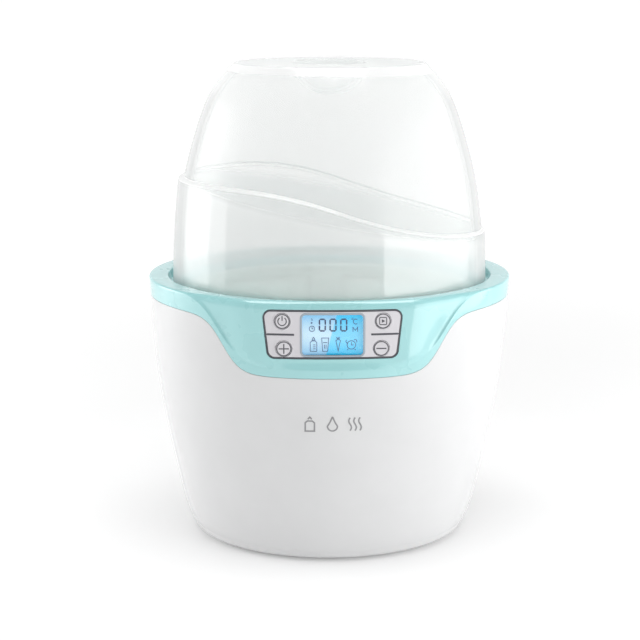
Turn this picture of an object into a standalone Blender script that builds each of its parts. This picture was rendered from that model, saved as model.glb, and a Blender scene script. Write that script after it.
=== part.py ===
"""Electric steam steriliser for two baby bottles.

A white tapered housing of elliptical plan carries a coloured collar whose front
drops into a shield with the control panel.  The heating tub hangs in the collar,
the bottle basket stands in the tub, and a clear dome closes it.

Frame: metres, +Z up, front towards -Y, origin on the floor under the middle.
"""
import math

import bmesh
import bpy
import numpy as np
from mathutils import Vector

# Body of revolution-like plan: x = a sin(angle), y = -b cos(angle), b = DEPTH_RATIO * a
DEPTH_RATIO = 0.75
RIM_TOP = 0.1493
HOUSING_BOTTOM = 0.0015
BODY_CURVE = ((0.004, 0.0775), (0.012, 0.0808), (0.030, 0.0854), (0.080, 0.0946), (0.1493, 0.1003))
WALL = 0.0025
GAP = 0.0003
LAP_HEIGHT = 0.006
LAP_GAP = 0.0004

# Seam between housing and collar, and the crease that bounds the shield
SEAM_LOW, SEAM_HIGH = 0.1091, 0.1392
SEAM_TURN, SEAM_SPREAD = 35.2, 2.9
CREASE_LOW, CREASE_HIGH = 0.1138, RIM_TOP
CREASE_TURN, CREASE_SPREAD = 36.3, 3.9
CREASE_SOFTNESS = 0.0040
FLANK_SINK = 0.0012
FLAT_HALF, FLAT_END = 0.0375, 0.0570

# Opening of the collar, its ledge for the dome and its inner lip
OPENING_A, OPENING_B = 0.0898, 0.0674
LEDGE_A, LEDGE_B = 0.0889, 0.0667
LIP_A, LIP_B = 0.0836, 0.0627
LIP_WALL = 0.0012
LEDGE_TOP, LEDGE_UNDER, LIP_BOTTOM = 0.1450, 0.1437, 0.1360
RIM_ROUND = 0.0012
SHIELD_ROUND_ACROSS, SHIELD_ROUND_DOWN = 0.0035, 0.0045
SHIELD_ROUND_FULL, SHIELD_ROUND_NONE = 38.0, 50.0

# Control panel: its middle, how far it leans back, its bend in plan, and its outline
PANEL_Y, PANEL_Z = -0.0714, 0.1310
PANEL_LEAN = math.radians(2.5)
PANEL_BEND_R = 0.24
PANEL_TOP, PANEL_BOTTOM = 0.0140, -0.0114
PANEL_HALF_TOP, PANEL_HALF_BOTTOM = 0.0362, 0.0335
PANEL_CORNER = 0.0040
PLATE_THICK = 0.0016
PANEL_CUT = 0.0060  # the opening behind the panel goes through the wall and stops short of the dome's seat
TRIM_WIDTH = 0.0007
BUTTON_R, BUTTON_HOLE_R = 0.00405, 0.00435
BUTTON_TRAVEL = 0.0005
BUTTONS = {
    "power_button": (-0.0259, 0.0082),
    "mode_button": (0.0259, 0.0082),
    "plus_button": (-0.0251, -0.0062),
    "minus_button": (0.0251, -0.0062),
}
WINDOW_HALF, WINDOW_BOTTOM, WINDOW_TOP, WINDOW_CORNER = 0.0158, -0.0096, 0.0117, 0.0020
BOARD_FRONT, BOARD_THICK = -0.0069, 0.0010

# Dome
DOME_RATIO = 0.76
DOME_BASE, DOME_TOP = 0.1453, 0.2650
DOME_WALL = 0.0020
SKIRT_CURVE = ((0.140, 0.0871), (0.170, 0.0860), (0.204, 0.0828))
UPPER_CURVE = ((0.172, 0.0845), (0.205, 0.0794), (0.235, 0.0706), (0.250, 0.0638), (0.2640, 0.0525))
SHOULDER_CURVE = (
    (-0.090, 0.2034), (-0.042, 0.2030), (-0.011, 0.1980), (0.0156, 0.1898), (0.050, 0.1806), (0.090, 0.1742),
)
BOWL_R, BOWL_DEPTH, VENT_R = 0.0200, 0.0150, 0.0025

# Tub, basket and heater
TUB_TOP, TUB_FLOOR = 0.1340, 0.0520
TUB_A, TUB_B, TUB_FLOOR_A, TUB_FLOOR_B = 0.0800, 0.0596, 0.0670, 0.0475
TUB_WALL = 0.0012
FLANGE_A, FLANGE_B = 0.0846, 0.0636
BASKET_TOP, BASKET_FLOOR = 0.1410, 0.0570
BASKET_CLEARANCE, BASKET_WALL = 0.0015, 0.0022
STRAP_HALF = 0.0100
HEATER_TOP, HEATER_BOTTOM = 0.0500, 0.0430
ELEMENT_R = 0.0033

# Base
PLATE_A, PLATE_B, PLATE_LOW, PLATE_HIGH = 0.0711, 0.0527, 0.0025, 0.0048
FOOT_X, FOOT_Y, FOOT_R, FOOT_TOP = 0.046, 0.030, 0.0065, 0.0022
SCREW_SPOTS = ((0.060, 0.0), (-0.060, 0.0), (0.0, 0.042), (0.0, -0.042))
SCREW_HEAD_R, SCREW_R, PILOT_R, BOSS_R = 0.0030, 0.0014, 0.0018, 0.0040
BOSS_LOW, BOSS_HIGH = 0.0052, 0.0160
GLAND_Z, GLAND_HOLE_R = 0.028, 0.0056
POWER_BOARD_LOW, POWER_BOARD_HIGH = 0.0110, 0.0126
POST_X, POST_Y = 0.036, 0.020

WHITE = (0.86, 0.87, 0.87)
TEAL = (0.38, 0.70, 0.69)
GREY = (0.60, 0.59, 0.62)
DARK = (0.05, 0.05, 0.06)
STEEL = (0.62, 0.62, 0.60)
ALUMINIUM = (0.70, 0.71, 0.72)
CLEAR = (0.92, 0.95, 0.95)
GREEN = (0.05, 0.22, 0.10)
COPPER = (0.72, 0.38, 0.22)


def clear_scene():
    for obj in list(bpy.data.objects):
        bpy.data.objects.remove(obj, do_unlink=True)


# ---------------------------------------------------------------- curves and fields

def curve_through(knots):
    """A natural cubic spline through (position, value) knots, as a function."""
    t = np.array([knot[0] for knot in knots])
    v = np.array([knot[1] for knot in knots])
    h = np.diff(t)
    system = np.eye(len(t))
    right = np.zeros(len(t))
    for i in range(1, len(t) - 1):
        system[i, i - 1:i + 2] = (h[i - 1], 2 * (h[i - 1] + h[i]), h[i])
        right[i] = 6 * ((v[i + 1] - v[i]) / h[i] - (v[i] - v[i - 1]) / h[i - 1])
    bend = np.linalg.solve(system, right)

    def value(at):
        i = int(np.clip(np.searchsorted(t, at) - 1, 0, len(h) - 1))
        left, rest = at - t[i], t[i + 1] - at
        return float(
            (bend[i] * rest ** 3 + bend[i + 1] * left ** 3) / (6 * h[i])
            + (v[i] / h[i] - bend[i] * h[i] / 6) * rest
            + (v[i + 1] / h[i] - bend[i + 1] * h[i] / 6) * left
        )

    return value


body_a = curve_through(BODY_CURVE)
skirt_a = curve_through(SKIRT_CURVE)
upper_a = curve_through(UPPER_CURVE)
shoulder_z = curve_through(SHOULDER_CURVE)


def logistic(t):
    return 1 / (1 + math.exp(-t))


def smooth_step(t):
    t = min(max(t, 0.0), 1.0)
    return t * t * (3 - 2 * t)


def degrees_off_front(phi):
    return abs(math.degrees(math.atan2(math.sin(phi), math.cos(phi))))


def seam_z(phi):
    """Height of the seam between the white housing and the collar."""
    return SEAM_LOW + (SEAM_HIGH - SEAM_LOW) * logistic((degrees_off_front(phi) - SEAM_TURN) / SEAM_SPREAD)


def crease_z(phi):
    """Height of the soft crease inside which the shield is sunk."""
    share = logistic((degrees_off_front(phi) - CREASE_TURN) / CREASE_SPREAD)
    return CREASE_LOW + (CREASE_HIGH - CREASE_LOW) * share


def panel_bend(x):
    """How far the panel's gently bowed face falls back at a distance from its middle."""
    return PANEL_BEND_R - math.sqrt(PANEL_BEND_R ** 2 - x ** 2)


def panel_face_y(x, z):
    return PANEL_Y + (z - PANEL_Z) * math.tan(PANEL_LEAN) + panel_bend(x)


def shield_sink(phi, z):
    """How far the shield's surface lies behind the plain elliptical body."""
    if math.cos(phi) <= 0.2:
        return 0.0
    a = body_a(z)
    x, y = a * math.sin(phi), -DEPTH_RATIO * a * math.cos(phi)
    side = smooth_step((abs(x) - FLAT_HALF) / (FLAT_END - FLAT_HALF))
    depth = (1 - side) * (panel_face_y(x, z) - y) + side * FLANK_SINK
    inside = min(max((z - crease_z(phi)) / CREASE_SOFTNESS, 0.0), 1.0)
    return depth * inside * (2 - inside)


def rim_round(phi):
    """How far across and down the collar's outer top edge is rounded."""
    share = (SHIELD_ROUND_NONE - degrees_off_front(phi)) / (SHIELD_ROUND_NONE - SHIELD_ROUND_FULL)
    share = smooth_step(share)
    opening = on_ellipse(OPENING_A, OPENING_B, RIM_TOP, phi)
    across = RIM_ROUND + share * (SHIELD_ROUND_ACROSS - RIM_ROUND)
    across = min(across, 0.75 * (skin(phi, RIM_TOP) - opening).length)
    return across, RIM_ROUND + share * (SHIELD_ROUND_DOWN - RIM_ROUND)


def skin(phi, z, inset=0.0):
    """Point of the body's outer surface at an angle and height, moved inwards by inset."""
    a = body_a(z)
    x = (a - inset) * math.sin(phi)
    y = -(DEPTH_RATIO * a - inset) * math.cos(phi) + shield_sink(phi, z)
    return Vector((x, y, z))


def plain_skin(phi, z, inset):
    a = body_a(z)
    return Vector(((a - inset) * math.sin(phi), -(DEPTH_RATIO * a - inset) * math.cos(phi), z))


def on_ellipse(a, b, z, phi):
    return Vector((a * math.sin(phi), -b * math.cos(phi), z))


# ---------------------------------------------------------------- mesh helpers

def material(name, colour, roughness, metallic=0.0, alpha=1.0):
    mat = bpy.data.materials.new(name)
    mat.use_nodes = True
    shader = mat.node_tree.nodes["Principled BSDF"]
    shader.inputs["Base Color"].default_value = (*colour, 1)
    shader.inputs["Roughness"].default_value = roughness
    shader.inputs["Metallic"].default_value = metallic
    shader.inputs["Alpha"].default_value = alpha
    return mat


def make_object(name, bm, mat, parent=None, location=(0, 0, 0)):
    bmesh.ops.recalc_face_normals(bm, faces=bm.faces)
    mesh = bpy.data.meshes.new(name)
    bm.to_mesh(mesh)
    bm.free()
    mesh.shade_smooth()
    mesh.set_sharp_from_angle(angle=math.radians(35))
    obj = bpy.data.objects.new(name, mesh)
    bpy.context.scene.collection.objects.link(obj)
    obj.parent = parent
    obj.location = location
    if mat:
        mesh.materials.append(mat)
    return obj


def add_torus_of_columns(bm, columns):
    """A closed skin around columns that are each a closed loop of points."""
    grid = [[bm.verts.new(point) for point in column] for column in columns]
    count, length = len(grid), len(grid[0])
    for i in range(count):
        here, there = grid[i], grid[(i + 1) % count]
        for j in range(length):
            k = (j + 1) % length
            bm.faces.new((here[j], there[j], there[k], here[k]))


def add_stack(bm, rings):
    """A solid skinned over rings of points, with a flat cap at both ends."""
    grid = [[bm.verts.new(point) for point in ring] for ring in rings]
    count = len(grid[0])
    for low, high in zip(grid, grid[1:]):
        for j in range(count):
            k = (j + 1) % count
            bm.faces.new((low[j], low[k], high[k], high[j]))
    bm.faces.new(grid[0])
    bm.faces.new(grid[-1])


def ellipse_ring(a, b, z, count, centre=(0.0, 0.0)):
    turn = 2 * math.pi / count
    return [Vector((centre[0] + a * math.sin(i * turn), centre[1] - b * math.cos(i * turn), z)) for i in range(count)]


def add_turned(bm, profile, count, centre=(0.0, 0.0)):
    """A solid of (radius, height) steps turned about a vertical line."""
    add_stack(bm, [ellipse_ring(r, r, z, count, centre) for r, z in profile])


def add_box(bm, low, high):
    corners = [(low[0], low[1]), (high[0], low[1]), (high[0], high[1]), (low[0], high[1])]
    add_stack(bm, [[Vector((x, y, z)) for x, y in corners] for z in (low[2], high[2])])


def add_prism(bm, outline, low, high):
    add_stack(bm, [[Vector((x, y, z)) for x, y in outline] for z in (low, high)])


def rounded_outline(corners, radius, steps=4):
    """An outline with each corner replaced by an arc."""
    points = []
    for i, corner in enumerate(corners):
        here = Vector(corner)
        before = (Vector(corners[i - 1]) - here).normalized()
        after = (Vector(corners[(i + 1) % len(corners)]) - here).normalized()
        half = before.angle(after) / 2
        centre = here + (before + after).normalized() * (radius / math.sin(half))
        start = here + before * (radius / math.tan(half)) - centre
        end = here + after * (radius / math.tan(half)) - centre
        for step in range(steps + 1):
            spot = start.lerp(end, step / steps).normalized() * radius
            points.append(tuple(centre + spot))
    return points


def panel_outline(grow):
    corners = [
        (-PANEL_HALF_BOTTOM - grow, PANEL_BOTTOM - grow),
        (PANEL_HALF_BOTTOM + grow, PANEL_BOTTOM - grow),
        (PANEL_HALF_TOP + grow, PANEL_TOP + grow),
        (-PANEL_HALF_TOP - grow, PANEL_TOP + grow),
    ]
    return rounded_outline(corners, PANEL_CORNER + grow)


def add_bowed_slab(bm, front, back):
    """A slab as bowed as the panel's face, between two distances in front of that face."""
    sides = np.linspace(-PANEL_HALF_TOP - 0.004, PANEL_HALF_TOP + 0.004, 19)
    rings = []
    for y in (PANEL_BOTTOM - 0.004, PANEL_TOP + 0.004):
        ahead = [Vector((x, y, front - panel_bend(x))) for x in sides]
        behind = [Vector((x, y, back - panel_bend(x))) for x in sides[::-1]]
        rings.append(ahead + behind)
    add_stack(bm, rings)


def box_outline(left, right, low, high, radius=0.0, steps=3):
    corners = [(left, low), (right, low), (right, high), (left, high)]
    return rounded_outline(corners, radius, steps) if radius else corners


def helper_solid(name, bm, parent=None):
    """A solid that only cuts or is joined to another object."""
    obj = make_object(name, bm, None, parent)
    obj.hide_render = True
    obj.display_type = "WIRE"
    return obj


def combine(target, operand, operation):
    modifier = target.modifiers.new(operand.name, "BOOLEAN")
    modifier.operation = operation
    modifier.solver = "EXACT"
    modifier.object = operand


def bevel(obj, width, segments=2):
    modifier = obj.modifiers.new("soft_edges", "BEVEL")
    modifier.width = width
    modifier.segments = segments
    modifier.limit_method = "ANGLE"
    modifier.angle_limit = math.radians(40)


def front_fine_angles():
    """Angles around the body, close together where the seam climbs the shield."""
    fine = [math.radians(angle) for angle in range(-60, 60, 4)]
    coarse = [math.radians(angle) for angle in range(60, 300, 10)]
    return fine + coarse


# ---------------------------------------------------------------- casing

def build_housing():
    low_rings = ((0.0738, HOUSING_BOTTOM), (0.0759, 0.0022), (0.0773, 0.0038))
    outer_shares = (0.0, 0.08, 0.19, 0.34, 0.50, 0.68, 0.84, 1.0)
    inner_shares = (1.0, 0.8, 0.55, 0.3, 0.12, 0.0)
    start = 0.0070
    columns = []
    for phi in front_fine_angles():
        edge = seam_z(phi) - GAP
        column = [on_ellipse(a, DEPTH_RATIO * a, z, phi) for a, z in low_rings]
        column += [plain_skin(phi, start + share * (edge - start), 0.0) for share in outer_shares]
        column += [plain_skin(phi, start + share * (edge - start), WALL) for share in inner_shares]
        foot_a = low_rings[0][0]
        column.append(on_ellipse(foot_a - 0.0020, DEPTH_RATIO * foot_a - 0.0020, HOUSING_BOTTOM, phi))
        columns.append(column)
    bm = bmesh.new()
    add_torus_of_columns(bm, columns)
    housing = make_object("housing", bm, material("white_plastic", WHITE, 0.25))

    bosses, ribs, holes = bmesh.new(), bmesh.new(), bmesh.new()
    for x, y in SCREW_SPOTS:
        add_turned(bosses, ((BOSS_R, BOSS_LOW), (BOSS_R, BOSS_HIGH)), 12, (x, y))
        add_turned(holes, ((PILOT_R, BOSS_LOW - 0.001), (PILOT_R, BOSS_HIGH + 0.001)), 8, (x, y))
        reach = (0.0775 - abs(x)) if x else (0.0580 - abs(y))
        along = Vector((x, y)).normalized()
        across = Vector((-along.y, along.x)) * 0.001
        near = Vector((x, y)) + along * (BOSS_R - 0.001)
        far = Vector((x, y)) + along * reach
        outline = [near - across, far - across, far + across, near + across]
        add_prism(ribs, [tuple(point) for point in outline], BOSS_LOW + 0.0004, BOSS_HIGH - 0.0004)
    add_stack(holes, [
        [Vector((p.x, y, GLAND_Z + p.y)) for p in ellipse_ring(GLAND_HOLE_R, GLAND_HOLE_R, 0, 16)]
        for y in (0.056, 0.070)
    ])
    combine(housing, helper_solid("housing_bosses", bosses), "UNION")
    combine(housing, helper_solid("housing_ribs", ribs), "UNION")
    combine(housing, helper_solid("housing_holes", holes), "DIFFERENCE")


def collar_column(phi):
    """The collar's section at one angle, as one closed loop."""
    seam = seam_z(phi)
    across, down = rim_round(phi)
    high = RIM_TOP - down
    crease = min(crease_z(phi), high - 0.0012)
    column = [skin(phi, seam), skin(phi, crease)]
    column += [skin(phi, crease + share * (high - crease)) for share in (0.08, 0.18, 0.45, 0.72)]
    for turn in (0, 30, 60, 90):
        angle = math.radians(turn)
        z = RIM_TOP - down * (1 - math.sin(angle))
        column.append(skin(phi, z, across * (1 - math.cos(angle))))
    column.append(on_ellipse(OPENING_A, OPENING_B, RIM_TOP, phi))
    column.append(on_ellipse(LEDGE_A, LEDGE_B, LEDGE_TOP, phi))
    column.append(on_ellipse(LIP_A, LIP_B, LEDGE_TOP, phi))
    column.append(on_ellipse(LIP_A, LIP_B, LIP_BOTTOM, phi))
    column.append(on_ellipse(LIP_A + LIP_WALL, LIP_B + LIP_WALL, LIP_BOTTOM, phi))
    column.append(on_ellipse(LIP_A + LIP_WALL, LIP_B + LIP_WALL, LEDGE_UNDER, phi))
    lap = WALL + LAP_GAP
    foot = seam + 0.0015
    for share in (1.0, 0.6, 0.3):
        column.append(skin(phi, foot + share * (LEDGE_UNDER - foot), WALL))
    column.append(plain_skin(phi, foot, lap + 0.0018))
    column.append(plain_skin(phi, seam - LAP_HEIGHT, lap + 0.0018))
    column.append(plain_skin(phi, seam - LAP_HEIGHT, lap))
    column.append(plain_skin(phi, seam, lap))
    return column


def build_collar(panel):
    bm = bmesh.new()
    add_torus_of_columns(bm, [collar_column(phi) for phi in front_fine_angles()])
    collar = make_object("collar", bm, material("teal_plastic", TEAL, 0.30))
    pocket, edge, window = bmesh.new(), bmesh.new(), bmesh.new()
    add_bowed_slab(pocket, 0.0060, -PLATE_THICK - GAP)
    add_prism(edge, panel_outline(GAP), -0.008, 0.008)
    add_prism(window, box_outline(-0.0325, 0.0325, -0.0112, 0.01295, 0.002), -PANEL_CUT, 0.004)
    cutter = helper_solid("panel_pocket", pocket, panel)
    combine(cutter, helper_solid("pocket_edge", edge, panel), "INTERSECT")
    combine(collar, cutter, "DIFFERENCE")
    combine(collar, helper_solid("panel_window", window, panel), "DIFFERENCE")


def build_base():
    bm = bmesh.new()
    chamfer = 0.0005
    add_stack(bm, [
        ellipse_ring(PLATE_A - chamfer, PLATE_B - chamfer, PLATE_LOW, 48),
        ellipse_ring(PLATE_A, PLATE_B, PLATE_LOW + chamfer, 48),
        ellipse_ring(PLATE_A, PLATE_B, PLATE_HIGH, 48),
    ])
    plate = make_object("base_plate", bm, material("base_plastic", WHITE, 0.5))
    posts, holes = bmesh.new(), bmesh.new()
    for x in (-POST_X, POST_X):
        for y in (-POST_Y, POST_Y):
            add_turned(posts, ((0.0030, PLATE_LOW + 0.001), (0.0030, POWER_BOARD_LOW - GAP)), 10, (x, y))
    for x, y in SCREW_SPOTS:
        add_turned(holes, ((PILOT_R, PLATE_LOW - 0.001), (PILOT_R, PLATE_HIGH + 0.001)), 8, (x, y))
    combine(plate, helper_solid("plate_posts", posts), "UNION")
    combine(plate, helper_solid("plate_holes", holes), "DIFFERENCE")

    rubber = material("foot_rubber", (0.75, 0.76, 0.76), 0.8)
    steel = material("screw_steel", STEEL, 0.35, 1.0)
    profile = ((FOOT_R - 0.0006, 0.0), (FOOT_R, 0.0006), (FOOT_R, FOOT_TOP))
    for i, (x, y) in enumerate(((-1, -1), (1, -1), (1, 1), (-1, 1)), 1):
        bm = bmesh.new()
        add_turned(bm, profile, 16)
        make_object(f"foot_{i}", bm, rubber, location=(x * FOOT_X, y * FOOT_Y, 0))
    head = PLATE_LOW - GAP
    for i, (x, y) in enumerate(SCREW_SPOTS, 1):
        bm = bmesh.new()
        add_turned(bm, (
            (SCREW_HEAD_R - 0.0006, head - 0.0013), (SCREW_HEAD_R, head - 0.0009), (SCREW_HEAD_R, head),
            (SCREW_R, head), (SCREW_R, 0.0125), (0.0006, 0.0140),
        ), 10)
        make_object(f"base_screw_{i}", bm, steel, location=(x, y, 0))


def build_gland():
    profile = (
        (0.0034, 0.0560), (0.0068, 0.0560), (0.0068, 0.0585), (0.0052, 0.0588), (0.0052, 0.0656),
        (0.0074, 0.0658), (0.0074, 0.0674), (0.0046, 0.0705), (0.0034, 0.0705),
    )
    columns = []
    for i in range(16):
        turn = i * math.pi / 8
        columns.append([Vector((r * math.sin(turn), y, GLAND_Z + r * math.cos(turn))) for r, y in profile])
    bm = bmesh.new()
    add_torus_of_columns(bm, columns)
    make_object("cord_gland", bm, material("gland_plastic", (0.75, 0.76, 0.76), 0.6))


# ---------------------------------------------------------------- dome

def dome_column(phi):
    step = shoulder_z(0.0855 * math.sin(phi))
    outside = [(share * (step - 0.0014 - DOME_BASE) + DOME_BASE) for share in (0.0, 0.35, 0.7, 1.0)]
    above = step + 0.0007
    rise = [above + share * (0.2640 - above) for share in (0.0, 0.2, 0.4, 0.58, 0.74, 0.88, 1.0)]

    def side(inset, lower, lift):
        points = [(skirt_a(z), z) for z in outside]
        points.append(((2 * skirt_a(step) + upper_a(step)) / 3, step - 0.0002))
        points += [(upper_a(z), z) for z in rise]
        return [
            on_ellipse(a - inset, DOME_RATIO * a - inset, max(min(z, DOME_TOP - lower) + lift, DOME_BASE), phi)
            for a, z in points
        ]

    def across(steps):
        return [on_ellipse(a, b, z, phi) for a, b, z in steps]

    top_a = UPPER_CURVE[-1][1]
    floor = DOME_TOP - BOWL_DEPTH
    column = side(0.0, 0.0, 0.0)
    column += across((
        (top_a - 0.0018, DOME_RATIO * top_a - 0.0018, DOME_TOP),
        (BOWL_R + 0.0020, BOWL_R + 0.0020, DOME_TOP),
        (BOWL_R, BOWL_R, DOME_TOP - 0.0010),
        (0.0172, 0.0172, DOME_TOP - 0.0065),
        (0.0115, 0.0115, floor + 0.0028),
        (VENT_R + 0.0020, VENT_R + 0.0020, floor),
        (VENT_R, VENT_R, floor),
        (VENT_R, VENT_R, floor - DOME_WALL),
        (VENT_R + 0.0025, VENT_R + 0.0025, floor - DOME_WALL),
        (0.0130, 0.0130, floor + 0.0012),
        (0.0191, 0.0191, DOME_TOP - 0.0072),
        (BOWL_R + 0.0032, BOWL_R + 0.0032, DOME_TOP - DOME_WALL),
        (top_a - 0.0034, DOME_RATIO * top_a - 0.0034, DOME_TOP - DOME_WALL),
    ))
    inner = side(DOME_WALL, 0.0030, 0.0)
    inner.reverse()
    return column + inner


def build_dome():
    bm = bmesh.new()
    count = 48
    add_torus_of_columns(bm, [dome_column(2 * math.pi * i / count) for i in range(count)])
    make_object("steam_dome", bm, material("clear_plastic", CLEAR, 0.08, alpha=0.3), location=(0, 0, 0))


# ---------------------------------------------------------------- tub, basket, heater

def tub_a(z, inset=0.0):
    share = (z - 0.060) / (TUB_TOP - 0.060)
    a = TUB_FLOOR_A + share * (TUB_A - TUB_FLOOR_A)
    b = TUB_FLOOR_B + share * (TUB_B - TUB_FLOOR_B)
    return a - inset, b - inset


def build_tub():
    def level(z, inset):
        a, b = tub_a(z, inset)
        return a, b, z

    low = TUB_FLOOR - TUB_WALL
    steps = (
        (0.0570, 0.0380, TUB_FLOOR), (0.0635, 0.0442, TUB_FLOOR + 0.0015), level(0.0600, 0.0), level(0.0970, 0.0),
        level(TUB_TOP, 0.0), (FLANGE_A, FLANGE_B, TUB_TOP), (FLANGE_A, FLANGE_B, TUB_TOP - TUB_WALL),
        level(TUB_TOP - TUB_WALL, -TUB_WALL), level(0.0970, -TUB_WALL), level(0.0600, -TUB_WALL),
        (0.0642, 0.0449, TUB_FLOOR + 0.0002), (0.0575, 0.0385, low),
    )
    bm = bmesh.new()
    add_stack(bm, [ellipse_ring(a, b, z, 40) for a, b, z in steps])
    make_object("heating_tub", bm, material("tub_metal", (0.66, 0.70, 0.69), 0.35, 0.6))

    bm = bmesh.new()
    columns = []
    for i in range(36):
        phi = i * math.pi / 18
        columns.append([
            on_ellipse(LIP_A + grow, LIP_B + grow, z, phi)
            for grow, z in ((0.0002, 0.1343), (0.0009, 0.1343), (0.0009, 0.1357), (0.0002, 0.1357))
        ])
    add_torus_of_columns(bm, columns)
    make_object("tub_seal", bm, material("seal_silicone", (0.80, 0.80, 0.79), 0.7))


def basket_rim_columns():
    outer_a, outer_b = LIP_A - 0.0012, LIP_B - 0.0012
    inner_a, inner_b = TUB_A - 0.0024, TUB_B - 0.0024
    low = TUB_TOP + GAP
    columns = []
    for i in range(40):
        phi = i * math.pi / 20
        columns.append([
            on_ellipse(outer_a, outer_b, low, phi), on_ellipse(outer_a, outer_b, BASKET_TOP - 0.0008, phi),
            on_ellipse(outer_a - 0.0008, outer_b - 0.0008, BASKET_TOP, phi),
            on_ellipse(inner_a, inner_b, BASKET_TOP, phi), on_ellipse(inner_a, inner_b, low, phi),
        ])
    return columns


def strap_rings(middle, half_width):
    """Rings of a strap that runs down the tub's wall around the angle middle."""
    rings = []
    for z in (BASKET_TOP - 0.0006, 0.1330, 0.0950, BASKET_FLOOR + 0.0004):
        a, b = tub_a(min(z, TUB_TOP - 0.0010), BASKET_CLEARANCE)
        half = half_width / (a if abs(math.cos(middle)) > 0.5 else b)
        outside = [on_ellipse(a, b, z, middle + side * half) for side in (-1, -0.33, 0.33, 1)]
        thick = BASKET_WALL + (0.0012 if z > 0.12 else 0.0)
        inside = [on_ellipse(a - thick, b - thick, z, middle + side * half) for side in (1, 0.33, -0.33, -1)]
        rings.append(outside + inside)
    return rings


def build_basket():
    bm = bmesh.new()
    add_torus_of_columns(bm, basket_rim_columns())
    basket = make_object("bottle_basket", bm, material("rack_plastic", (0.88, 0.90, 0.90), 0.35))
    straps = bmesh.new()
    for middle in (0.0, math.pi):
        add_stack(straps, strap_rings(middle, STRAP_HALF))
    for middle in (math.pi / 2, -math.pi / 2):
        add_stack(straps, strap_rings(middle, 0.8 * STRAP_HALF))
    floor = bmesh.new()
    a, b = tub_a(BASKET_FLOOR, BASKET_CLEARANCE + 0.0003)
    add_stack(floor, [ellipse_ring(a, b, z, 40) for z in (BASKET_FLOOR, BASKET_FLOOR + 0.0025)])
    holes = bmesh.new()
    for x in (-0.032, 0.032):
        add_turned(holes, ((0.0080, 0.05), (0.0080, 0.07)), 12, (x, 0.0))
        for i in range(6):
            turn = i * math.pi / 3 + math.pi / 6
            spot = (x + 0.0195 * math.sin(turn), 0.0195 * math.cos(turn))
            add_turned(holes, ((0.0045, 0.05), (0.0045, 0.07)), 8, spot)
    for y in (-0.026, 0.0, 0.026):
        add_turned(holes, ((0.0045, 0.05), (0.0045, 0.07)), 8, (0.0, y))
    combine(basket, helper_solid("basket_straps", straps), "UNION")
    combine(basket, helper_solid("basket_floor", floor), "UNION")
    combine(basket, helper_solid("basket_holes", holes), "DIFFERENCE")


def tube_along(name, points, radius, mat, resolution=2):
    curve = bpy.data.curves.new(name, "CURVE")
    curve.dimensions = "3D"
    curve.bevel_depth = radius
    curve.bevel_resolution = resolution
    curve.use_fill_caps = True
    spline = curve.splines.new("POLY")
    spline.points.add(len(points) - 1)
    for slot, point in zip(spline.points, points):
        slot.co = (*point, 1)
    curve.materials.append(mat)
    obj = bpy.data.objects.new(name, curve)
    bpy.context.scene.collection.objects.link(obj)
    return obj


def build_heater():
    bm = bmesh.new()
    add_stack(bm, [
        ellipse_ring(a, b, z, 40)
        for a, b, z in ((0.052, 0.034, HEATER_BOTTOM), (0.054, 0.036, HEATER_BOTTOM + 0.002), (0.054, 0.036, HEATER_TOP))
    ])
    make_object("heater_plate", bm, material("cast_aluminium", ALUMINIUM, 0.45, 1.0))
    level = HEATER_BOTTOM - GAP - ELEMENT_R
    loop = [on_ellipse(0.044, 0.027, level, math.radians(angle)) for angle in range(-150, 151, 12)]
    ends = []
    for point in (loop[0], loop[-1]):
        ends.append([point + Vector((0, 0.0045, -0.0015)), point + Vector((0, 0.0060, -0.0060)),
                     point + Vector((0, 0.0060, -0.0110))])
    path = list(reversed(ends[0])) + loop + ends[1]
    tube_along("heating_element", path, ELEMENT_R, material("element_steel", STEEL, 0.4, 1.0), 1)

    under = HEATER_BOTTOM - GAP
    bm = bmesh.new()
    add_turned(bm, ((0.0060, 0.0310), (0.0078, 0.0325), (0.0078, 0.0395), (0.0068, under)), 20, (0.0, 0.0))
    make_object("thermostat", bm, material("thermostat_body", (0.30, 0.20, 0.14), 0.5))
    bm = bmesh.new()
    add_turned(bm, ((0.0021, -0.0065), (0.0021, 0.0045), (0.0008, 0.0065)), 12)
    fuse = make_object("thermal_fuse", bm, material("fuse_metal", STEEL, 0.35, 1.0), location=(-0.024, 0.004, 0.0400))
    fuse.rotation_euler = (math.pi / 2, 0, 0)
    bm = bmesh.new()
    add_turned(bm, ((0.0015, 0.0335), (0.0030, 0.0345), (0.0030, 0.0410), (0.0022, under)), 14, (0.022, 0.004))
    make_object("temperature_sensor", bm, material("sensor_metal", COPPER, 0.35, 1.0))


# ---------------------------------------------------------------- electronics

def build_power_electronics():
    top = POWER_BOARD_HIGH + GAP
    bm = bmesh.new()
    add_prism(bm, box_outline(-0.042, 0.042, -0.026, 0.026, 0.002), POWER_BOARD_LOW, POWER_BOARD_HIGH)
    make_object("power_board", bm, material("board_green", GREEN, 0.5))
    blocks = {
        "transformer": ((-0.031, -0.014, top), (-0.007, 0.006, top + 0.0165), (0.80, 0.62, 0.12)),
        "relay": ((0.001, -0.016, top), (0.020, -0.001, top + 0.0150), (0.05, 0.10, 0.28)),
        "terminal_block": ((-0.013, 0.0120, top), (0.013, 0.0220, top + 0.0100), (0.10, 0.30, 0.16)),
    }
    for name, (low, high, colour) in blocks.items():
        bm = bmesh.new()
        add_box(bm, low, high)
        bevel(make_object(name, bm, material(name + "_case", colour, 0.4)), 0.0008, 1)
    bm = bmesh.new()
    add_turned(bm, ((0.0045, top), (0.0050, top + 0.0006), (0.0050, top + 0.0150), (0.0043, top + 0.0158)), 16)
    make_object("capacitor", bm, material("capacitor_sleeve", (0.06, 0.06, 0.10), 0.35), location=(0.030, 0.008, 0))


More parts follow.
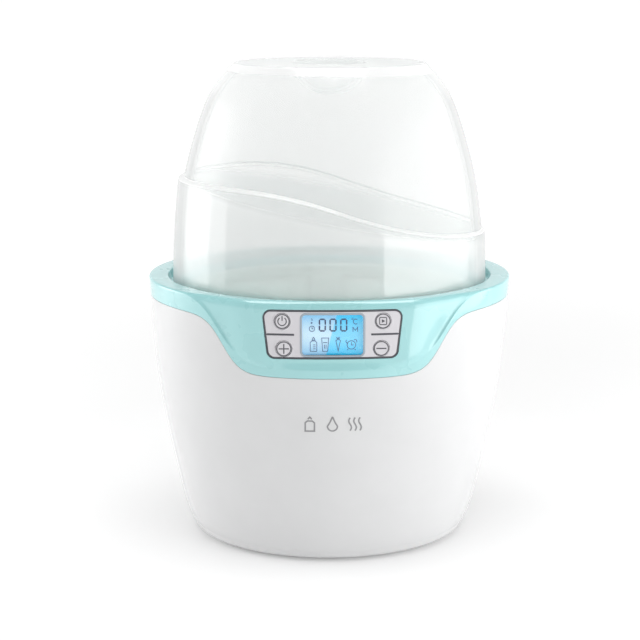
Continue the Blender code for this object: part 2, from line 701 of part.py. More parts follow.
def build_leads():
    element_x, element_y = 0.022, 0.0294
    start_z = HEATER_BOTTOM - GAP - ELEMENT_R - 0.0110 - GAP
    block_top = POWER_BOARD_HIGH + GAP + 0.0100 + GAP
    for name, side, colour in (("live_lead", 1, (0.35, 0.16, 0.08)), ("neutral_lead", -1, (0.06, 0.16, 0.42))):
        begin = Vector((side * element_x, element_y, start_z - 0.0004))
        end = Vector((side * 0.0075, 0.0170, block_top + 0.0001))
        handles = (begin, begin + Vector((0, 0.002, -0.004)), end + Vector((0, 0, 0.0080)), end)
        path = []
        for i in range(11):
            t = i / 10
            weights = ((1 - t) ** 3, 3 * t * (1 - t) ** 2, 3 * t * t * (1 - t), t ** 3)
            path.append(sum((w * p for w, p in zip(weights, handles)), Vector()))
        tube_along(name, path, 0.0012, material(name + "_cover", colour, 0.5))


def build_ribbon():
    """Flat cable from the control board down the front to the power board."""
    route = curve_points(((-0.0640, 0.1185), (-0.0625, 0.0900), (-0.0590, 0.0550), (-0.0500, 0.0320), (-0.0330, 0.0190),
                          (-0.0235, 0.0155)), 18)
    half_thick, half_wide = 0.0004, 0.0070
    rings = []
    for i, spot in enumerate(route):
        ahead = route[min(i + 1, len(route) - 1)] - route[max(i - 1, 0)]
        normal = Vector((-ahead.y, ahead.x)).normalized() * half_thick
        near, far = spot - normal, spot + normal
        rings.append([
            Vector((-half_wide, near.x, near.y)), Vector((half_wide, near.x, near.y)),
            Vector((half_wide, far.x, far.y)), Vector((-half_wide, far.x, far.y)),
        ])
    bm = bmesh.new()
    add_stack(bm, rings)
    make_object("ribbon_cable", bm, material("ribbon_plastic", (0.62, 0.62, 0.64), 0.6))


def curve_points(knots, count):
    """Evenly numbered points on a smooth curve through 2-D knots."""
    along = range(len(knots))
    x = curve_through([(i, knot[0]) for i, knot in zip(along, knots)])
    y = curve_through([(i, knot[1]) for i, knot in zip(along, knots)])
    return [Vector((x(t), y(t))) for t in np.linspace(0, len(knots) - 1, count)]


# ---------------------------------------------------------------- control panel

def make_panel_frame():
    """Empty on the panel's face: local X to the right, Y up the face, Z out of it."""
    frame = bpy.data.objects.new("panel_frame", None)
    bpy.context.scene.collection.objects.link(frame)
    frame.location = (0, PANEL_Y, PANEL_Z)
    frame.rotation_euler = (math.pi / 2 - PANEL_LEAN, 0, 0)
    return frame


def build_panel(panel):
    inner = -TRIM_WIDTH
    slab, ring = bmesh.new(), bmesh.new()
    add_bowed_slab(slab, 0.0001, -PLATE_THICK)
    columns = []
    for outer, within in zip(panel_outline(0.0), panel_outline(inner)):
        columns.append([Vector((*outer, -0.008)), Vector((*outer, 0.008)),
                        Vector((*within, 0.008)), Vector((*within, -0.008))])
    add_torus_of_columns(ring, columns)
    trim = make_object("panel_trim", slab, material("trim_dark", DARK, 0.4), panel)
    combine(trim, helper_solid("trim_ring", ring, panel), "INTERSECT")

    slab, edge, holes = bmesh.new(), bmesh.new(), bmesh.new()
    add_bowed_slab(slab, 0.0, -PLATE_THICK)
    add_prism(edge, panel_outline(inner - GAP), -0.008, 0.008)
    plate = make_object("panel_plate", slab, material("panel_grey", GREY, 0.35, 0.1), panel)
    grow = GAP
    add_prism(holes, box_outline(-WINDOW_HALF - grow, WINDOW_HALF + grow, WINDOW_BOTTOM - grow,
                                 WINDOW_TOP + grow, WINDOW_CORNER), -0.006, 0.004)
    for x, y in BUTTONS.values():
        add_turned(holes, ((BUTTON_HOLE_R, -0.006), (BUTTON_HOLE_R, 0.004)), 20, (x, y))
    combine(plate, helper_solid("plate_edge", edge, panel), "INTERSECT")
    combine(plate, helper_solid("plate_openings", holes, panel), "DIFFERENCE")

    level = -panel_bend(WINDOW_HALF)
    display = (
        ("display_window", 0.0, 0.0, -0.0013, WINDOW_CORNER, (0.75, 0.88, 0.94), 0.05, 0.5),
        ("lcd_glass", 0.0007, -0.0019, -0.0031, 0.0005, (0.20, 0.62, 0.86), 0.15, 1.0),
        ("backlight", 0.0004, -0.0034, -0.0047, 0.0005, (0.85, 0.90, 0.92), 0.4, 1.0),
    )
    for name, grow, front, back, corner, colour, roughness, alpha in display:
        bm = bmesh.new()
        taller = min(grow, 0.0002)
        outline = box_outline(-WINDOW_HALF - grow, WINDOW_HALF + grow, WINDOW_BOTTOM - taller,
                              WINDOW_TOP + taller, corner)
        add_prism(bm, outline, level + back, level + front)
        make_object(name, bm, material(name + "_mat", colour, roughness, alpha=alpha), panel)


def build_control_board(panel):
    """Circuit board behind the panel, notched where the dome's seat comes close."""
    bm = bmesh.new()
    outline = [
        (-0.0315, -0.0098), (0.0315, -0.0098), (0.0315, 0.0112), (0.0200, 0.0112),
        (0.0200, 0.0012), (-0.0200, 0.0012), (-0.0200, 0.0112), (-0.0315, 0.0112),
    ]
    add_prism(bm, outline, BOARD_FRONT - BOARD_THICK, BOARD_FRONT)
    make_object("control_board", bm, material("control_board_green", GREEN, 0.5), panel)

    switch_mat = material("switch_black", DARK, 0.4)
    cap_mats = material("button_grey", GREY, 0.4)
    foot = BOARD_FRONT + GAP
    half = 0.00225
    for name, (x, y) in BUTTONS.items():
        square = [(-half, -half), (half, -half), (half, half), (-half, half)]
        small = [(0.5 * u, 0.5 * v) for u, v in square]
        rings = [[Vector((u, v, z)) for u, v in outline] for outline, z in (
            (square, foot), (square, foot + 0.0011), (small, foot + 0.0011), (small, foot + 0.0016))]
        bm = bmesh.new()
        add_stack(bm, rings)
        make_object(name.replace("button", "switch"), bm, switch_mat, panel, (x, y, 0))
        back = foot + 0.0016 + BUTTON_TRAVEL + 0.0002
        face = -panel_bend(x)
        bm = bmesh.new()
        add_turned(bm, (
            (0.0046, back), (0.0046, back + 0.0006), (BUTTON_R, back + 0.0006),
            (BUTTON_R, face + 0.0002), (BUTTON_R - 0.0003, face + 0.0004),
        ), 20)
        make_object(name, bm, cap_mats, panel, (x, y, 0))


def main():
    clear_scene()
    panel = make_panel_frame()
    build_housing()
    build_collar(panel)
    build_base()
    build_gland()
    build_dome()
    build_tub()
    build_basket()
    build_heater()
    build_power_electronics()
    build_leads()
    build_ribbon()
    build_panel(panel)
    build_control_board(panel)


main()
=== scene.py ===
"""Looks of a steam steriliser for baby bottles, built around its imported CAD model.

Fine shells replace the coarse CAD casing, dome, tub and rack.  The control panel gets
its printed rings, symbols and lit display, and every CAD part inside gets a finish.
Frame: metres, +Z up, front towards -Y, origin on the floor under the middle.
"""

import math

import bmesh
import bpy
import numpy as np
from mathutils import Matrix, Vector


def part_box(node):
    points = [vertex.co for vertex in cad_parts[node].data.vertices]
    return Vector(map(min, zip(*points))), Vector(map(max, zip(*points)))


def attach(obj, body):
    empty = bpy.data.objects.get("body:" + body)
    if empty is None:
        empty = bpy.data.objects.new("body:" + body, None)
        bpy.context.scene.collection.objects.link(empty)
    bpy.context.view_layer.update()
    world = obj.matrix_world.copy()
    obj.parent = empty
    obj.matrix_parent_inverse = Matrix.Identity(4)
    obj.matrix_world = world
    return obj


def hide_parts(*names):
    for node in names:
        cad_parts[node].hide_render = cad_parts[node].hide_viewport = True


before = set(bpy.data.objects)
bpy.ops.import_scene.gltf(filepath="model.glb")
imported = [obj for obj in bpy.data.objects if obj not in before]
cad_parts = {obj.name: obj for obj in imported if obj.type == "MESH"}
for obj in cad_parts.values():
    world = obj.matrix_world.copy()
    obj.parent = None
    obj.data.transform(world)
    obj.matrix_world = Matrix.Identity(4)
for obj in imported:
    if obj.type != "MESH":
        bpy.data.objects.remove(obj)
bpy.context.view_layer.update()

# ---------------------------------------------------------------- shape laws, as in the CAD part
DEPTH_RATIO = 0.75
RIM_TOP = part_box("collar")[1].z
HOUSING_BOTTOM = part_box("housing")[0].z
BODY_CURVE = ((0.004, 0.0775), (0.012, 0.0808), (0.030, 0.0854), (0.080, 0.0946), (0.1493, 0.1003))
FOOT_CURVE = ((0.0, 0.0738, 0.0015), (1.0, 0.0759, 0.0022), (1.9, 0.0773, 0.0038), (3.4, 0.0785, 0.0070))
FOOT_ROUND_TOP = 0.0072  # height at which the rounded foot ends and the wall starts
WALL = 0.0025
SEAM_GAP = 0.00012
LAP_HEIGHT, LAP_GAP, LAP_WALL = 0.006, 0.0004, 0.0018
SEAM_LOW, SEAM_HIGH = 0.1091, 0.1392
SEAM_TURN, SEAM_SPREAD = 35.2, 2.9
CREASE_LOW, CREASE_HIGH = 0.1138, 0.1493
CREASE_TURN, CREASE_SPREAD = 36.3, 3.9
CREASE_SOFTNESS = 0.0040
FLANK_SINK = 0.0012
FLAT_HALF, FLAT_END = 0.0375, 0.0570
OPENING_A, OPENING_B = 0.0898, 0.0674
LEDGE_A, LEDGE_B = 0.0889, 0.0667
LIP_A, LIP_B = 0.0836, 0.0627
LIP_WALL = 0.0012
LEDGE_TOP, LEDGE_UNDER, LIP_BOTTOM = 0.1450, 0.1437, 0.1360
RIM_ROUND = 0.0012
SHIELD_ROUND_ACROSS, SHIELD_ROUND_DOWN = 0.0035, 0.0045
SHIELD_ROUND_FULL, SHIELD_ROUND_NONE = 38.0, 50.0

PANEL_Y, PANEL_Z = -0.0714, 0.1310
PANEL_LEAN = math.radians(2.5)
PANEL_BEND_R = 0.24
PANEL_TOP, PANEL_BOTTOM = 0.0140, -0.0114
PANEL_HALF_TOP, PANEL_HALF_BOTTOM = 0.0362, 0.0335
PANEL_CORNER = 0.0040
PLATE_THICK = 0.0016
# The opening behind the panel goes through the wall and stops short of the dome's seat.
PANEL_CUT, PANEL_WINDOW = 0.0060, (-0.0325, 0.0325, -0.0112, 0.01295, 0.002)
TRIM_WIDTH = 0.0007
POCKET_GAP = 0.0003
BUTTON_R, BUTTON_HOLE_R = 0.00405, 0.00435
BUTTON_SPOTS = {
    "power_button": (-0.0259, 0.0082),
    "mode_button": (0.0259, 0.0082),
    "plus_button": (-0.0251, -0.0062),
    "minus_button": (0.0251, -0.0062),
}
BUTTON_BACK, BUTTON_FLANGE_R = -0.0043, 0.0046
WINDOW_HALF, WINDOW_BOTTOM, WINDOW_TOP, WINDOW_CORNER = 0.0158, -0.0096, 0.0117, 0.0020
WINDOW_DEPTH, LCD_FRONT, LCD_BACK = -0.0013, -0.0019, -0.0031

DOME_RATIO = 0.76
DOME_BASE, DOME_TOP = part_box("steam_dome")[0].z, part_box("steam_dome")[1].z
DOME_WALL, DOME_TOP_WALL, DOME_LEDGE_WALL = 0.0020, 0.0024, 0.0019
SKIRT_CURVE = ((0.140, 0.0871), (0.170, 0.0860), (0.204, 0.0828))
UPPER_CURVE = ((0.172, 0.0845), (0.205, 0.0794), (0.235, 0.0706), (0.250, 0.0638), (0.2640, 0.0525))
SHOULDER_CURVE = (
    (-0.090, 0.2034), (-0.042, 0.2030), (-0.011, 0.1980),
    (0.0156, 0.1898), (0.050, 0.1806), (0.090, 0.1742),
)
BOWL_R, BOWL_DEPTH, VENT_R = 0.0200, 0.0150, 0.0025

TUB_TOP, TUB_FLOOR, TUB_WALL = 0.1340, 0.0520, 0.0012
TUB_A, TUB_B, TUB_FLOOR_A, TUB_FLOOR_B = 0.0800, 0.0596, 0.0670, 0.0475
FLANGE_A, FLANGE_B = 0.0846, 0.0636
RACK_TOP, RACK_FLOOR = 0.1410, 0.0570
RACK_CLEARANCE, RACK_WALL = 0.0015, 0.0022
STRAP_HALF = 0.0100
BOTTLE_SPOT, HOLE_CIRCLE = 0.032, 0.0195  # each bottle's middle, and the ring of drain holes round it
RACK_HOLE_R, SMALL_HOLE_R, RACK_HOLE_REACH = 0.0080, 0.0045, (0.05, 0.07)

PLATE_A, PLATE_B, PLATE_LOW, PLATE_HIGH = 0.0711, 0.0527, 0.0025, 0.0048
FOOT_X, FOOT_Y, FOOT_R, FOOT_TOP = 0.046, 0.030, 0.0065, 0.0022
SCREW_SPOTS = ((0.060, 0.0), (-0.060, 0.0), (0.0, 0.042), (0.0, -0.042))
SCREW_HEAD_R, SCREW_R, SCREW_HOLE_R = 0.0030, 0.0014, 0.0018
POST_X, POST_Y, POST_R = 0.036, 0.020, 0.0030
POST_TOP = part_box("power_board")[0].z - POCKET_GAP
VENT_MARK_DEPTH, VENT_MARK_LONG, VENT_MARK_HALF = 0.0006, 0.0085, 0.0009
VENT_MARK_X, VENT_MARK_PITCH = 0.019, 0.0052
BOSS_R, BOSS_LOW, BOSS_HIGH = 0.0040, 0.0052, 0.0160
BOSS_RIB_HALF, BOSS_RIB_END_X, BOSS_RIB_END_Y = 0.001, 0.0762, 0.0570
GLAND_Z, GLAND_HOLE_R = 0.028, 0.0056
GLAND_HOLE_REACH = (0.0560, 0.0720)  # from inside the wall to outside it
WELD = 0.0000005  # points this near each other after a cut are one point


def curve_through(knots):
    """A natural cubic spline through (position, value) knots, as a function of an array."""
    t = np.array([knot[0] for knot in knots])
    v = np.array([knot[1] for knot in knots])
    h = np.diff(t)
    system, right = np.eye(len(t)), np.zeros(len(t))
    for i in range(1, len(t) - 1):
        system[i, i - 1:i + 2] = (h[i - 1], 2 * (h[i - 1] + h[i]), h[i])
        right[i] = 6 * ((v[i + 1] - v[i]) / h[i] - (v[i] - v[i - 1]) / h[i - 1])
    bend = np.linalg.solve(system, right)

    def value(at):
        at = np.asarray(at, float)
        i = np.clip(np.searchsorted(t, at) - 1, 0, len(h) - 1)
        left, rest = at - t[i], t[i + 1] - at
        cubic = (bend[i] * rest ** 3 + bend[i + 1] * left ** 3) / (6 * h[i])
        start, end = v[i] / h[i] - bend[i] * h[i] / 6, v[i + 1] / h[i] - bend[i + 1] * h[i] / 6
        return cubic + start * rest + end * left

    return value


body_a = curve_through(BODY_CURVE)
skirt_a = curve_through(SKIRT_CURVE)
upper_a = curve_through(UPPER_CURVE)
shoulder_z = curve_through(SHOULDER_CURVE)
foot_a = curve_through([(t, a) for t, a, z in FOOT_CURVE])
foot_z = curve_through([(t, z) for t, a, z in FOOT_CURVE])


def logistic(t):
    return 1 / (1 + np.exp(-t))


def smooth_step(t):
    t = np.clip(t, 0, 1)
    return t * t * (3 - 2 * t)


def degrees_off_front(phi):
    return np.abs(np.degrees(np.arctan2(np.sin(phi), np.cos(phi))))


def seam_z(phi):
    return SEAM_LOW + (SEAM_HIGH - SEAM_LOW) * logistic((degrees_off_front(phi) - SEAM_TURN) / SEAM_SPREAD)


def crease_z(phi):
    share = logistic((degrees_off_front(phi) - CREASE_TURN) / CREASE_SPREAD)
    return CREASE_LOW + (CREASE_HIGH - CREASE_LOW) * share


def panel_bend(x):
    """How far the panel's bowed face falls back at a distance from its middle."""
    return PANEL_BEND_R - np.sqrt(PANEL_BEND_R ** 2 - np.asarray(x, float) ** 2)


def shield_sink(phi, z):
    """How far the shield's surface lies behind the plain elliptical body."""
    a = body_a(z)
    x, y = a * np.sin(phi), -DEPTH_RATIO * a * np.cos(phi)
    face = PANEL_Y + (z - PANEL_Z) * math.tan(PANEL_LEAN) + panel_bend(x)
    side = smooth_step((np.abs(x) - FLAT_HALF) / (FLAT_END - FLAT_HALF))
    depth = (1 - side) * (face - y) + side * FLANK_SINK
    inside = np.clip((z - crease_z(phi)) / CREASE_SOFTNESS, 0, 1)
    return np.where(np.cos(phi) > 0.2, depth * inside * (2 - inside), 0.0)


def even_turn(count, shift=0.0):
    """Angles of a full turn in even steps, shifted by a share of a step."""
    return (np.arange(count) + shift) * 2 * math.pi / count


def on_ellipse(a, b, z, phi):
    x, y = a * np.sin(phi), -b * np.cos(phi)
    return np.stack([x, y, z + 0 * phi], axis=-1)


def plain_skin(phi, z, inset=0.0):
    """Points of the plain elliptical body, moved inwards by inset."""
    return on_ellipse(body_a(z) - inset, DEPTH_RATIO * body_a(z) - inset, z, phi)


def skin(phi, z, inset=0.0):
    """Points of the body's outside with the sunk shield, moved inwards by inset."""
    points = plain_skin(phi, z, inset)
    points[..., 1] += shield_sink(phi, z)
    return points


def rim_round(phi):
    """How far across and down the collar's outer top edge is rounded."""
    turn = SHIELD_ROUND_NONE - degrees_off_front(phi)
    share = smooth_step(turn / (SHIELD_ROUND_NONE - SHIELD_ROUND_FULL))
    width = np.linalg.norm(skin(phi, RIM_TOP) - on_ellipse(OPENING_A, OPENING_B, RIM_TOP, phi), axis=-1)
    across = RIM_ROUND + share * (SHIELD_ROUND_ACROSS - RIM_ROUND)
    return np.minimum(across, 0.75 * width), RIM_ROUND + share * (SHIELD_ROUND_DOWN - RIM_ROUND)


# ---------------------------------------------------------------- mesh helpers

def unit(vectors):
    return vectors / np.maximum(np.linalg.norm(vectors, axis=-1, keepdims=True), 1e-9)


def rounded_section(steps):
    """Columns of points through a closed loop of (ring, set-back, arc points) steps, corners rounded."""
    rings = [step[0] for step in steps]
    points = []
    for i, (ring, setback, count) in enumerate(steps):
        if not count:
            points.append(ring)
            continue
        reach = np.broadcast_to(setback, ring.shape[:1])[:, None]
        start = ring + reach * unit(rings[i - 1] - ring)
        end = ring + reach * unit(rings[(i + 1) % len(rings)] - ring)
        for t in np.linspace(0, 1, count):
            points.append((1 - t) ** 2 * start + 2 * t * (1 - t) * ring + t * t * end)
    return np.stack(points, axis=1)


def corner(ring, setback, count):
    return ring, setback, count


def plain(ring):
    return ring, 0.0, 0


def grid_faces(columns, rows, around=True):
    """Quads over a grid of points numbered column by column."""
    index = np.arange(columns * rows).reshape(columns, rows)
    right, up = np.roll(index, -1, axis=0), np.roll(index, -1, axis=1)
    faces = np.stack([index, right, np.roll(right, -1, axis=1), up], axis=-1)
    return (faces if around else faces[:-1]).reshape(-1, 4).tolist()


class Solid:
    """Points and faces gathered for one mesh."""

    def __init__(self):
        self.points, self.faces = [], []

    def add(self, points, faces):
        first = len(self.points)
        self.points.extend(np.asarray(points, float).reshape(-1, 3).tolist())
        self.faces.extend([[first + i for i in face] for face in faces])

    def torus(self, columns):
        """A closed skin around columns that are each a closed loop."""
        self.add(columns, grid_faces(*columns.shape[:2]))

    def stack(self, rings, closed=False):
        """A skin over rings of points, capped at both ends unless it is closed on itself."""
        rings = np.asarray(rings, float)
        faces = grid_faces(*rings.shape[:2], around=closed)
        if not closed:
            count = rings.shape[1]
            faces.append(list(range(count)))
            faces.append(list(range((len(rings) - 1) * count, len(rings) * count)))
        self.add(rings, faces)

    def turned(self, profile, count, centre=(0.0, 0.0), shift=0.0):
        """A solid of (radius, height) steps turned about a vertical line."""
        self.stack([on_ellipse(r, r, z, even_turn(count, shift)) + (*centre, 0.0) for r, z in profile])

    def rod(self, radius, low, high, count, centre, shift=0.0):
        self.turned(((radius, low), (radius, high)), count, centre, shift)

    def prism(self, outline, low, high):
        self.stack([[(*p, z) for p in outline] for z in (low, high)])

    def object(self, name, matrix=None, smooth=35):
        mesh = bpy.data.meshes.new(name)
        mesh.from_pydata(self.points, [], self.faces)
        tidy(mesh, smooth)
        obj = bpy.data.objects.new(name, mesh)
        bpy.context.scene.collection.objects.link(obj)
        if matrix is not None:
            obj.matrix_world = matrix
        return obj


def tidy(mesh, smooth, weld=0.0):
    """Turns all faces outwards and, after a cut, welds the slivers that the cut left."""
    bm = bmesh.new()
    bm.from_mesh(mesh)
    if weld:
        bmesh.ops.remove_doubles(bm, verts=bm.verts, dist=weld)
        bmesh.ops.dissolve_degenerate(bm, dist=weld, edges=bm.edges)
    bmesh.ops.recalc_face_normals(bm, faces=bm.faces)
    bm.to_mesh(mesh)
    bm.free()
    mesh.shade_smooth()
    mesh.set_sharp_from_angle(angle=math.radians(smooth))


def carve(obj, *steps, weld=0.0):
    """Applies boolean (operation, helper) steps to obj, one after another, and removes the helpers."""
    for operation, helper in steps:
        modifier = obj.modifiers.new(helper.name, "BOOLEAN")
        modifier.operation, modifier.solver, modifier.object = operation, "EXACT", helper
    bpy.context.view_layer.update()
    evaluated = obj.evaluated_get(bpy.context.evaluated_depsgraph_get())
    mesh = bpy.data.meshes.new_from_object(evaluated)
    obj.modifiers.clear()
    obj.data = mesh
    mesh.name = obj.name
    tidy(mesh, 35, weld)
    for operation, helper in steps:
        bpy.data.objects.remove(helper)
    return obj


def closed_shell(name, steps):
    """A mesh around a closed loop of ring steps."""
    shell = Solid()
    shell.torus(rounded_section(steps))
    return shell.object(name)


def prism(name, outline, low, high, matrix):
    solid = Solid()
    solid.prism(outline, low, high)
    return solid.object(name, matrix)


def piece(obj, material, body, replaces=()):
    """Gives a finished mesh its material and body, and hides the CAD nodes that it stands for."""
    obj.data.materials.clear()
    obj.data.materials.append(material)
    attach(obj, body)
    if replaces:
        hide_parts(*replaces)
    return obj


def rounded_outline(corners, radius, steps=10):
    """A counter-clockwise outline with each corner replaced by an arc."""
    points = []
    for i, spot in enumerate(corners):
        here = Vector(spot)
        before = (Vector(corners[i - 1]) - here).normalized()
        after = (Vector(corners[(i + 1) % len(corners)]) - here).normalized()
        half = before.angle(after) / 2
        centre = here + (before + after).normalized() * (radius / math.sin(half))
        start = here + before * (radius / math.tan(half)) - centre
        end = here + after * (radius / math.tan(half)) - centre
        for step in range(steps + 1):
            points.append(centre + start.lerp(end, step / steps).normalized() * radius)
    return np.array([tuple(p) for p in points])


def box_outline(left, right, low, high, radius=0.0, steps=8):
    corners = [(left, low), (right, low), (right, high), (left, high)]
    return rounded_outline(corners, radius, steps) if radius else np.array(corners)


def plus_outline(reach, half):
    """A counter-clockwise plus sign with arms of one reach and half width."""
    points, quarter = [], [(half, half), (half, reach), (-half, reach)]
    for _ in range(4):
        points += quarter
        quarter = [(-v, u) for u, v in quarter]
    return points


def panel_outline(grow):
    corners = [
        (-PANEL_HALF_BOTTOM - grow, PANEL_BOTTOM - grow),
        (PANEL_HALF_BOTTOM + grow, PANEL_BOTTOM - grow),
        (PANEL_HALF_TOP + grow, PANEL_TOP + grow),
        (-PANEL_HALF_TOP - grow, PANEL_TOP + grow),
    ]
    return rounded_outline(corners, PANEL_CORNER + grow)


def finer(path, spacing, closed=True):
    """The same path with points added so that none lie further apart than spacing."""
    path = np.asarray(path, float)
    ends = np.roll(path, -1, axis=0) if closed else path[1:]
    points = []
    for here, there in zip(path, ends):
        count = max(1, int(math.ceil(np.linalg.norm(there - here) / spacing)))
        points.extend(here + (there - here) * i / count for i in range(count))
    if not closed:
        points.append(path[-1])
    return np.array(points)


def offset_path(path, distance, closed):
    """A path moved sideways to its left by a distance, with mitred corners."""
    ahead = np.roll(path, -1, axis=0) - path
    behind = path - np.roll(path, 1, axis=0)
    if not closed:
        ahead[-1], behind[0] = behind[-1], ahead[0]
    ahead, behind = unit(ahead), unit(behind)
    middle = unit(ahead + behind)
    normal = np.stack([-middle[:, 1], middle[:, 0]], axis=1)
    across = np.maximum(np.sum(middle * ahead, axis=1, keepdims=True), 0.35)
    return path + normal * distance / across


class Relief:
    """Raised print: strokes and filled shapes on a surface given by place(u, v, height)."""

    def __init__(self, place, low, high):
        self.solid, self.place, self.low, self.high = Solid(), place, low, high

    def level(self, path, height):
        return self.place(path[:, 0], path[:, 1], height)

    def stroke(self, path, width, closed=False, spacing=0.0006):
        path = finer(path, spacing, closed)
        left, right = offset_path(path, width / 2, closed), offset_path(path, -width / 2, closed)
        self.solid.stack(np.stack([self.level(side, height) for side, height in (
            (left, self.low), (left, self.high), (right, self.high), (right, self.low))], axis=1), closed)

    def fill(self, outline):
        self.solid.stack([self.level(np.asarray(outline, float), h) for h in (self.low, self.high)])

    def object(self, name, matrix=None):
        return self.solid.object(name, matrix, 40)


def arc(centre, radius, start, end, count=40):
    turn = np.radians(np.linspace(start, end, count))
    return np.stack([centre[0] + radius * np.cos(turn), centre[1] + radius * np.sin(turn)], axis=1)


def circle(centre, radius, count=48):
    return arc(centre, radius, 0, 360 * (count - 1) / count, count)


# ---------------------------------------------------------------- materials

class Graph:
    """The nodes of one material or world, with short ways to add and join them."""

    def __init__(self, tree):
        self.nodes, self.links = tree.nodes, tree.links

    def fill(self, node, inputs):
        """Gives each named socket a plain value, a colour or another node's output."""
        for name, value in inputs.items():
            socket = node.inputs[name]
            if isinstance(value, bpy.types.NodeSocket):
                self.links.new(value, socket)
            elif socket.type == "RGBA":
                socket.default_value = (*value, 1)
            else:
                socket.default_value = value

    def add(self, kind, inputs=None, **settings):
        node = self.nodes.new("ShaderNode" + kind)
        for name, value in settings.items():
            setattr(node, name, value)
        self.fill(node, inputs or {})
        return node

    def math(self, operation, *values, clamp=False):
        node = self.add("Math", dict(enumerate(values)), operation=operation, use_clamp=clamp)
        return node.outputs["Value"]

    def place(self, kind="Object"):
        return self.add("TexCoord").outputs[kind]

    def axes(self, vector):
        return self.add("SeparateXYZ", {"Vector": vector}).outputs

    def noise(self, scale, detail=3.0, roughness=0.55, where=None):
        return self.add("TexNoise", {"Scale": scale, "Detail": detail, "Roughness": roughness,
                                     "Vector": where or self.place()}).outputs["Fac"]

    def spread(self, source, low, high, start=0.3, end=0.7, kind="LINEAR"):
        """A value that runs from low to high as source goes from start to end."""
        inputs = {"Value": source, "From Min": start, "From Max": end, "To Min": low, "To Max": high}
        return self.add("MapRange", inputs, interpolation_type=kind).outputs["Result"]

    def mix(self, factor, first, second):
        """One colour to another; 6 and 7 are the node's two colour sockets."""
        return self.add("Mix", {"Factor": factor, 6: first, 7: second}, data_type="RGBA").outputs[2]

    def curve(self, source, stops):
        """A grey that follows (position, value) stops."""
        node = self.add("ValToRGB", {"Fac": source})
        elements = node.color_ramp.elements
        for index, (position, value) in enumerate(stops):
            element = elements[index] if index < 2 else elements.new(position)
            element.position, element.color = position, (value,) * 3 + (1,)
        return node.outputs["Color"]

    def bump(self, height, distance):
        return self.add("Bump", {"Height": height, "Distance": distance, "Strength": 1.0}).outputs["Normal"]


def new_material(name):
    mat = bpy.data.materials.new(name)
    mat.use_nodes = True
    graph = Graph(mat.node_tree)
    return mat, graph, graph.nodes["Principled BSDF"]


def scaled(colour, share):
    return tuple(min(c * share, 1.0) for c in colour)


MOTTLE = 0.015
THICK_COAT = 0.5  # a coat above this weight is a lacquer, which bends light more
COAT_IOR, LACQUER_IOR = 1.5, 1.7


def plastic(name, colour, rough, grain=900.0, depth=0.000004, coat=0.0):
    """Moulded plastic: a faint mottle of colour, uneven gloss and a fine grain."""
    mat, graph, shader = new_material(name)
    broad, darker, lighter = graph.noise(38.0), scaled(colour, 1 - MOTTLE), scaled(colour, 1 + MOTTLE)
    graph.fill(shader, {
        "Base Color": graph.mix(graph.spread(broad, 0.0, 1.0), darker, lighter),
        "Roughness": graph.spread(broad, rough * 0.88, rough * 1.12),
        "Coat Weight": coat, "Coat Roughness": 0.06,
        "Coat IOR": LACQUER_IOR if coat > THICK_COAT else COAT_IOR,
        "Normal": graph.bump(graph.noise(grain, 2.0), depth)})
    return mat


def metal(name, colour, rough, stretch=(1.0, 1.0, 14.0), scale=260.0, depth=0.000006):
    """Metal with fine streaks drawn out along one direction."""
    mat, graph, shader = new_material(name)
    where = graph.add("Mapping", {"Vector": graph.place(), "Scale": stretch}).outputs["Vector"]
    streak = graph.noise(scale, 4.0, 0.5, where)
    graph.fill(shader, {
        "Base Color": graph.mix(graph.spread(streak, 0.0, 1.0), scaled(colour, 0.93), colour),
        "Roughness": graph.spread(streak, rough * 0.8, rough * 1.25),
        "Metallic": 1.0, "Normal": graph.bump(streak, depth)})
    return mat


def circuit_board(name):
    """Solder mask over faint copper tracks, with a scatter of tinned pads."""
    mat, graph, shader = new_material(name)
    tracks = graph.add("TexBrick", {
        "Vector": graph.place(), "Scale": 210.0, "Mortar Size": 0.06, "Color1": BOARD_GREEN,
        "Color2": scaled(BOARD_GREEN, 0.8), "Mortar": scaled(BOARD_GREEN, 1.9)}).outputs
    pads = graph.add("TexVoronoi", {"Vector": graph.place(), "Scale": 230.0}).outputs["Distance"]
    graph.fill(shader, {
        "Base Color": graph.mix(graph.math("LESS_THAN", pads, 0.16), tracks["Color"], BOARD_TIN),
        "Roughness": 0.35, "Normal": graph.bump(tracks["Fac"], 0.00003)})
    return mat


def ribbon_material():
    """Flat cable: grey cores side by side with fine grooves between them."""
    mat, graph, shader = new_material("ribbon_plastic")
    cores = graph.add("TexWave", {"Vector": graph.place(), "Scale": 250.0}).outputs["Fac"]
    graph.fill(shader, {"Base Color": graph.mix(cores, (0.38, 0.38, 0.40), (0.66, 0.66, 0.68)),
                        "Roughness": 0.5, "Normal": graph.bump(cores, 0.0002)})
    return mat


LCD_GLOW = 0.33
# The display's pale left part is a painted reflection; these place its slanting edge.
LCD_REFLECTION_SLANT, LCD_REFLECTION_EDGE, LCD_REFLECTION_SHIFT = -0.26, 1400.0, 1.6  # the gloss edge's lean, sharpness and place


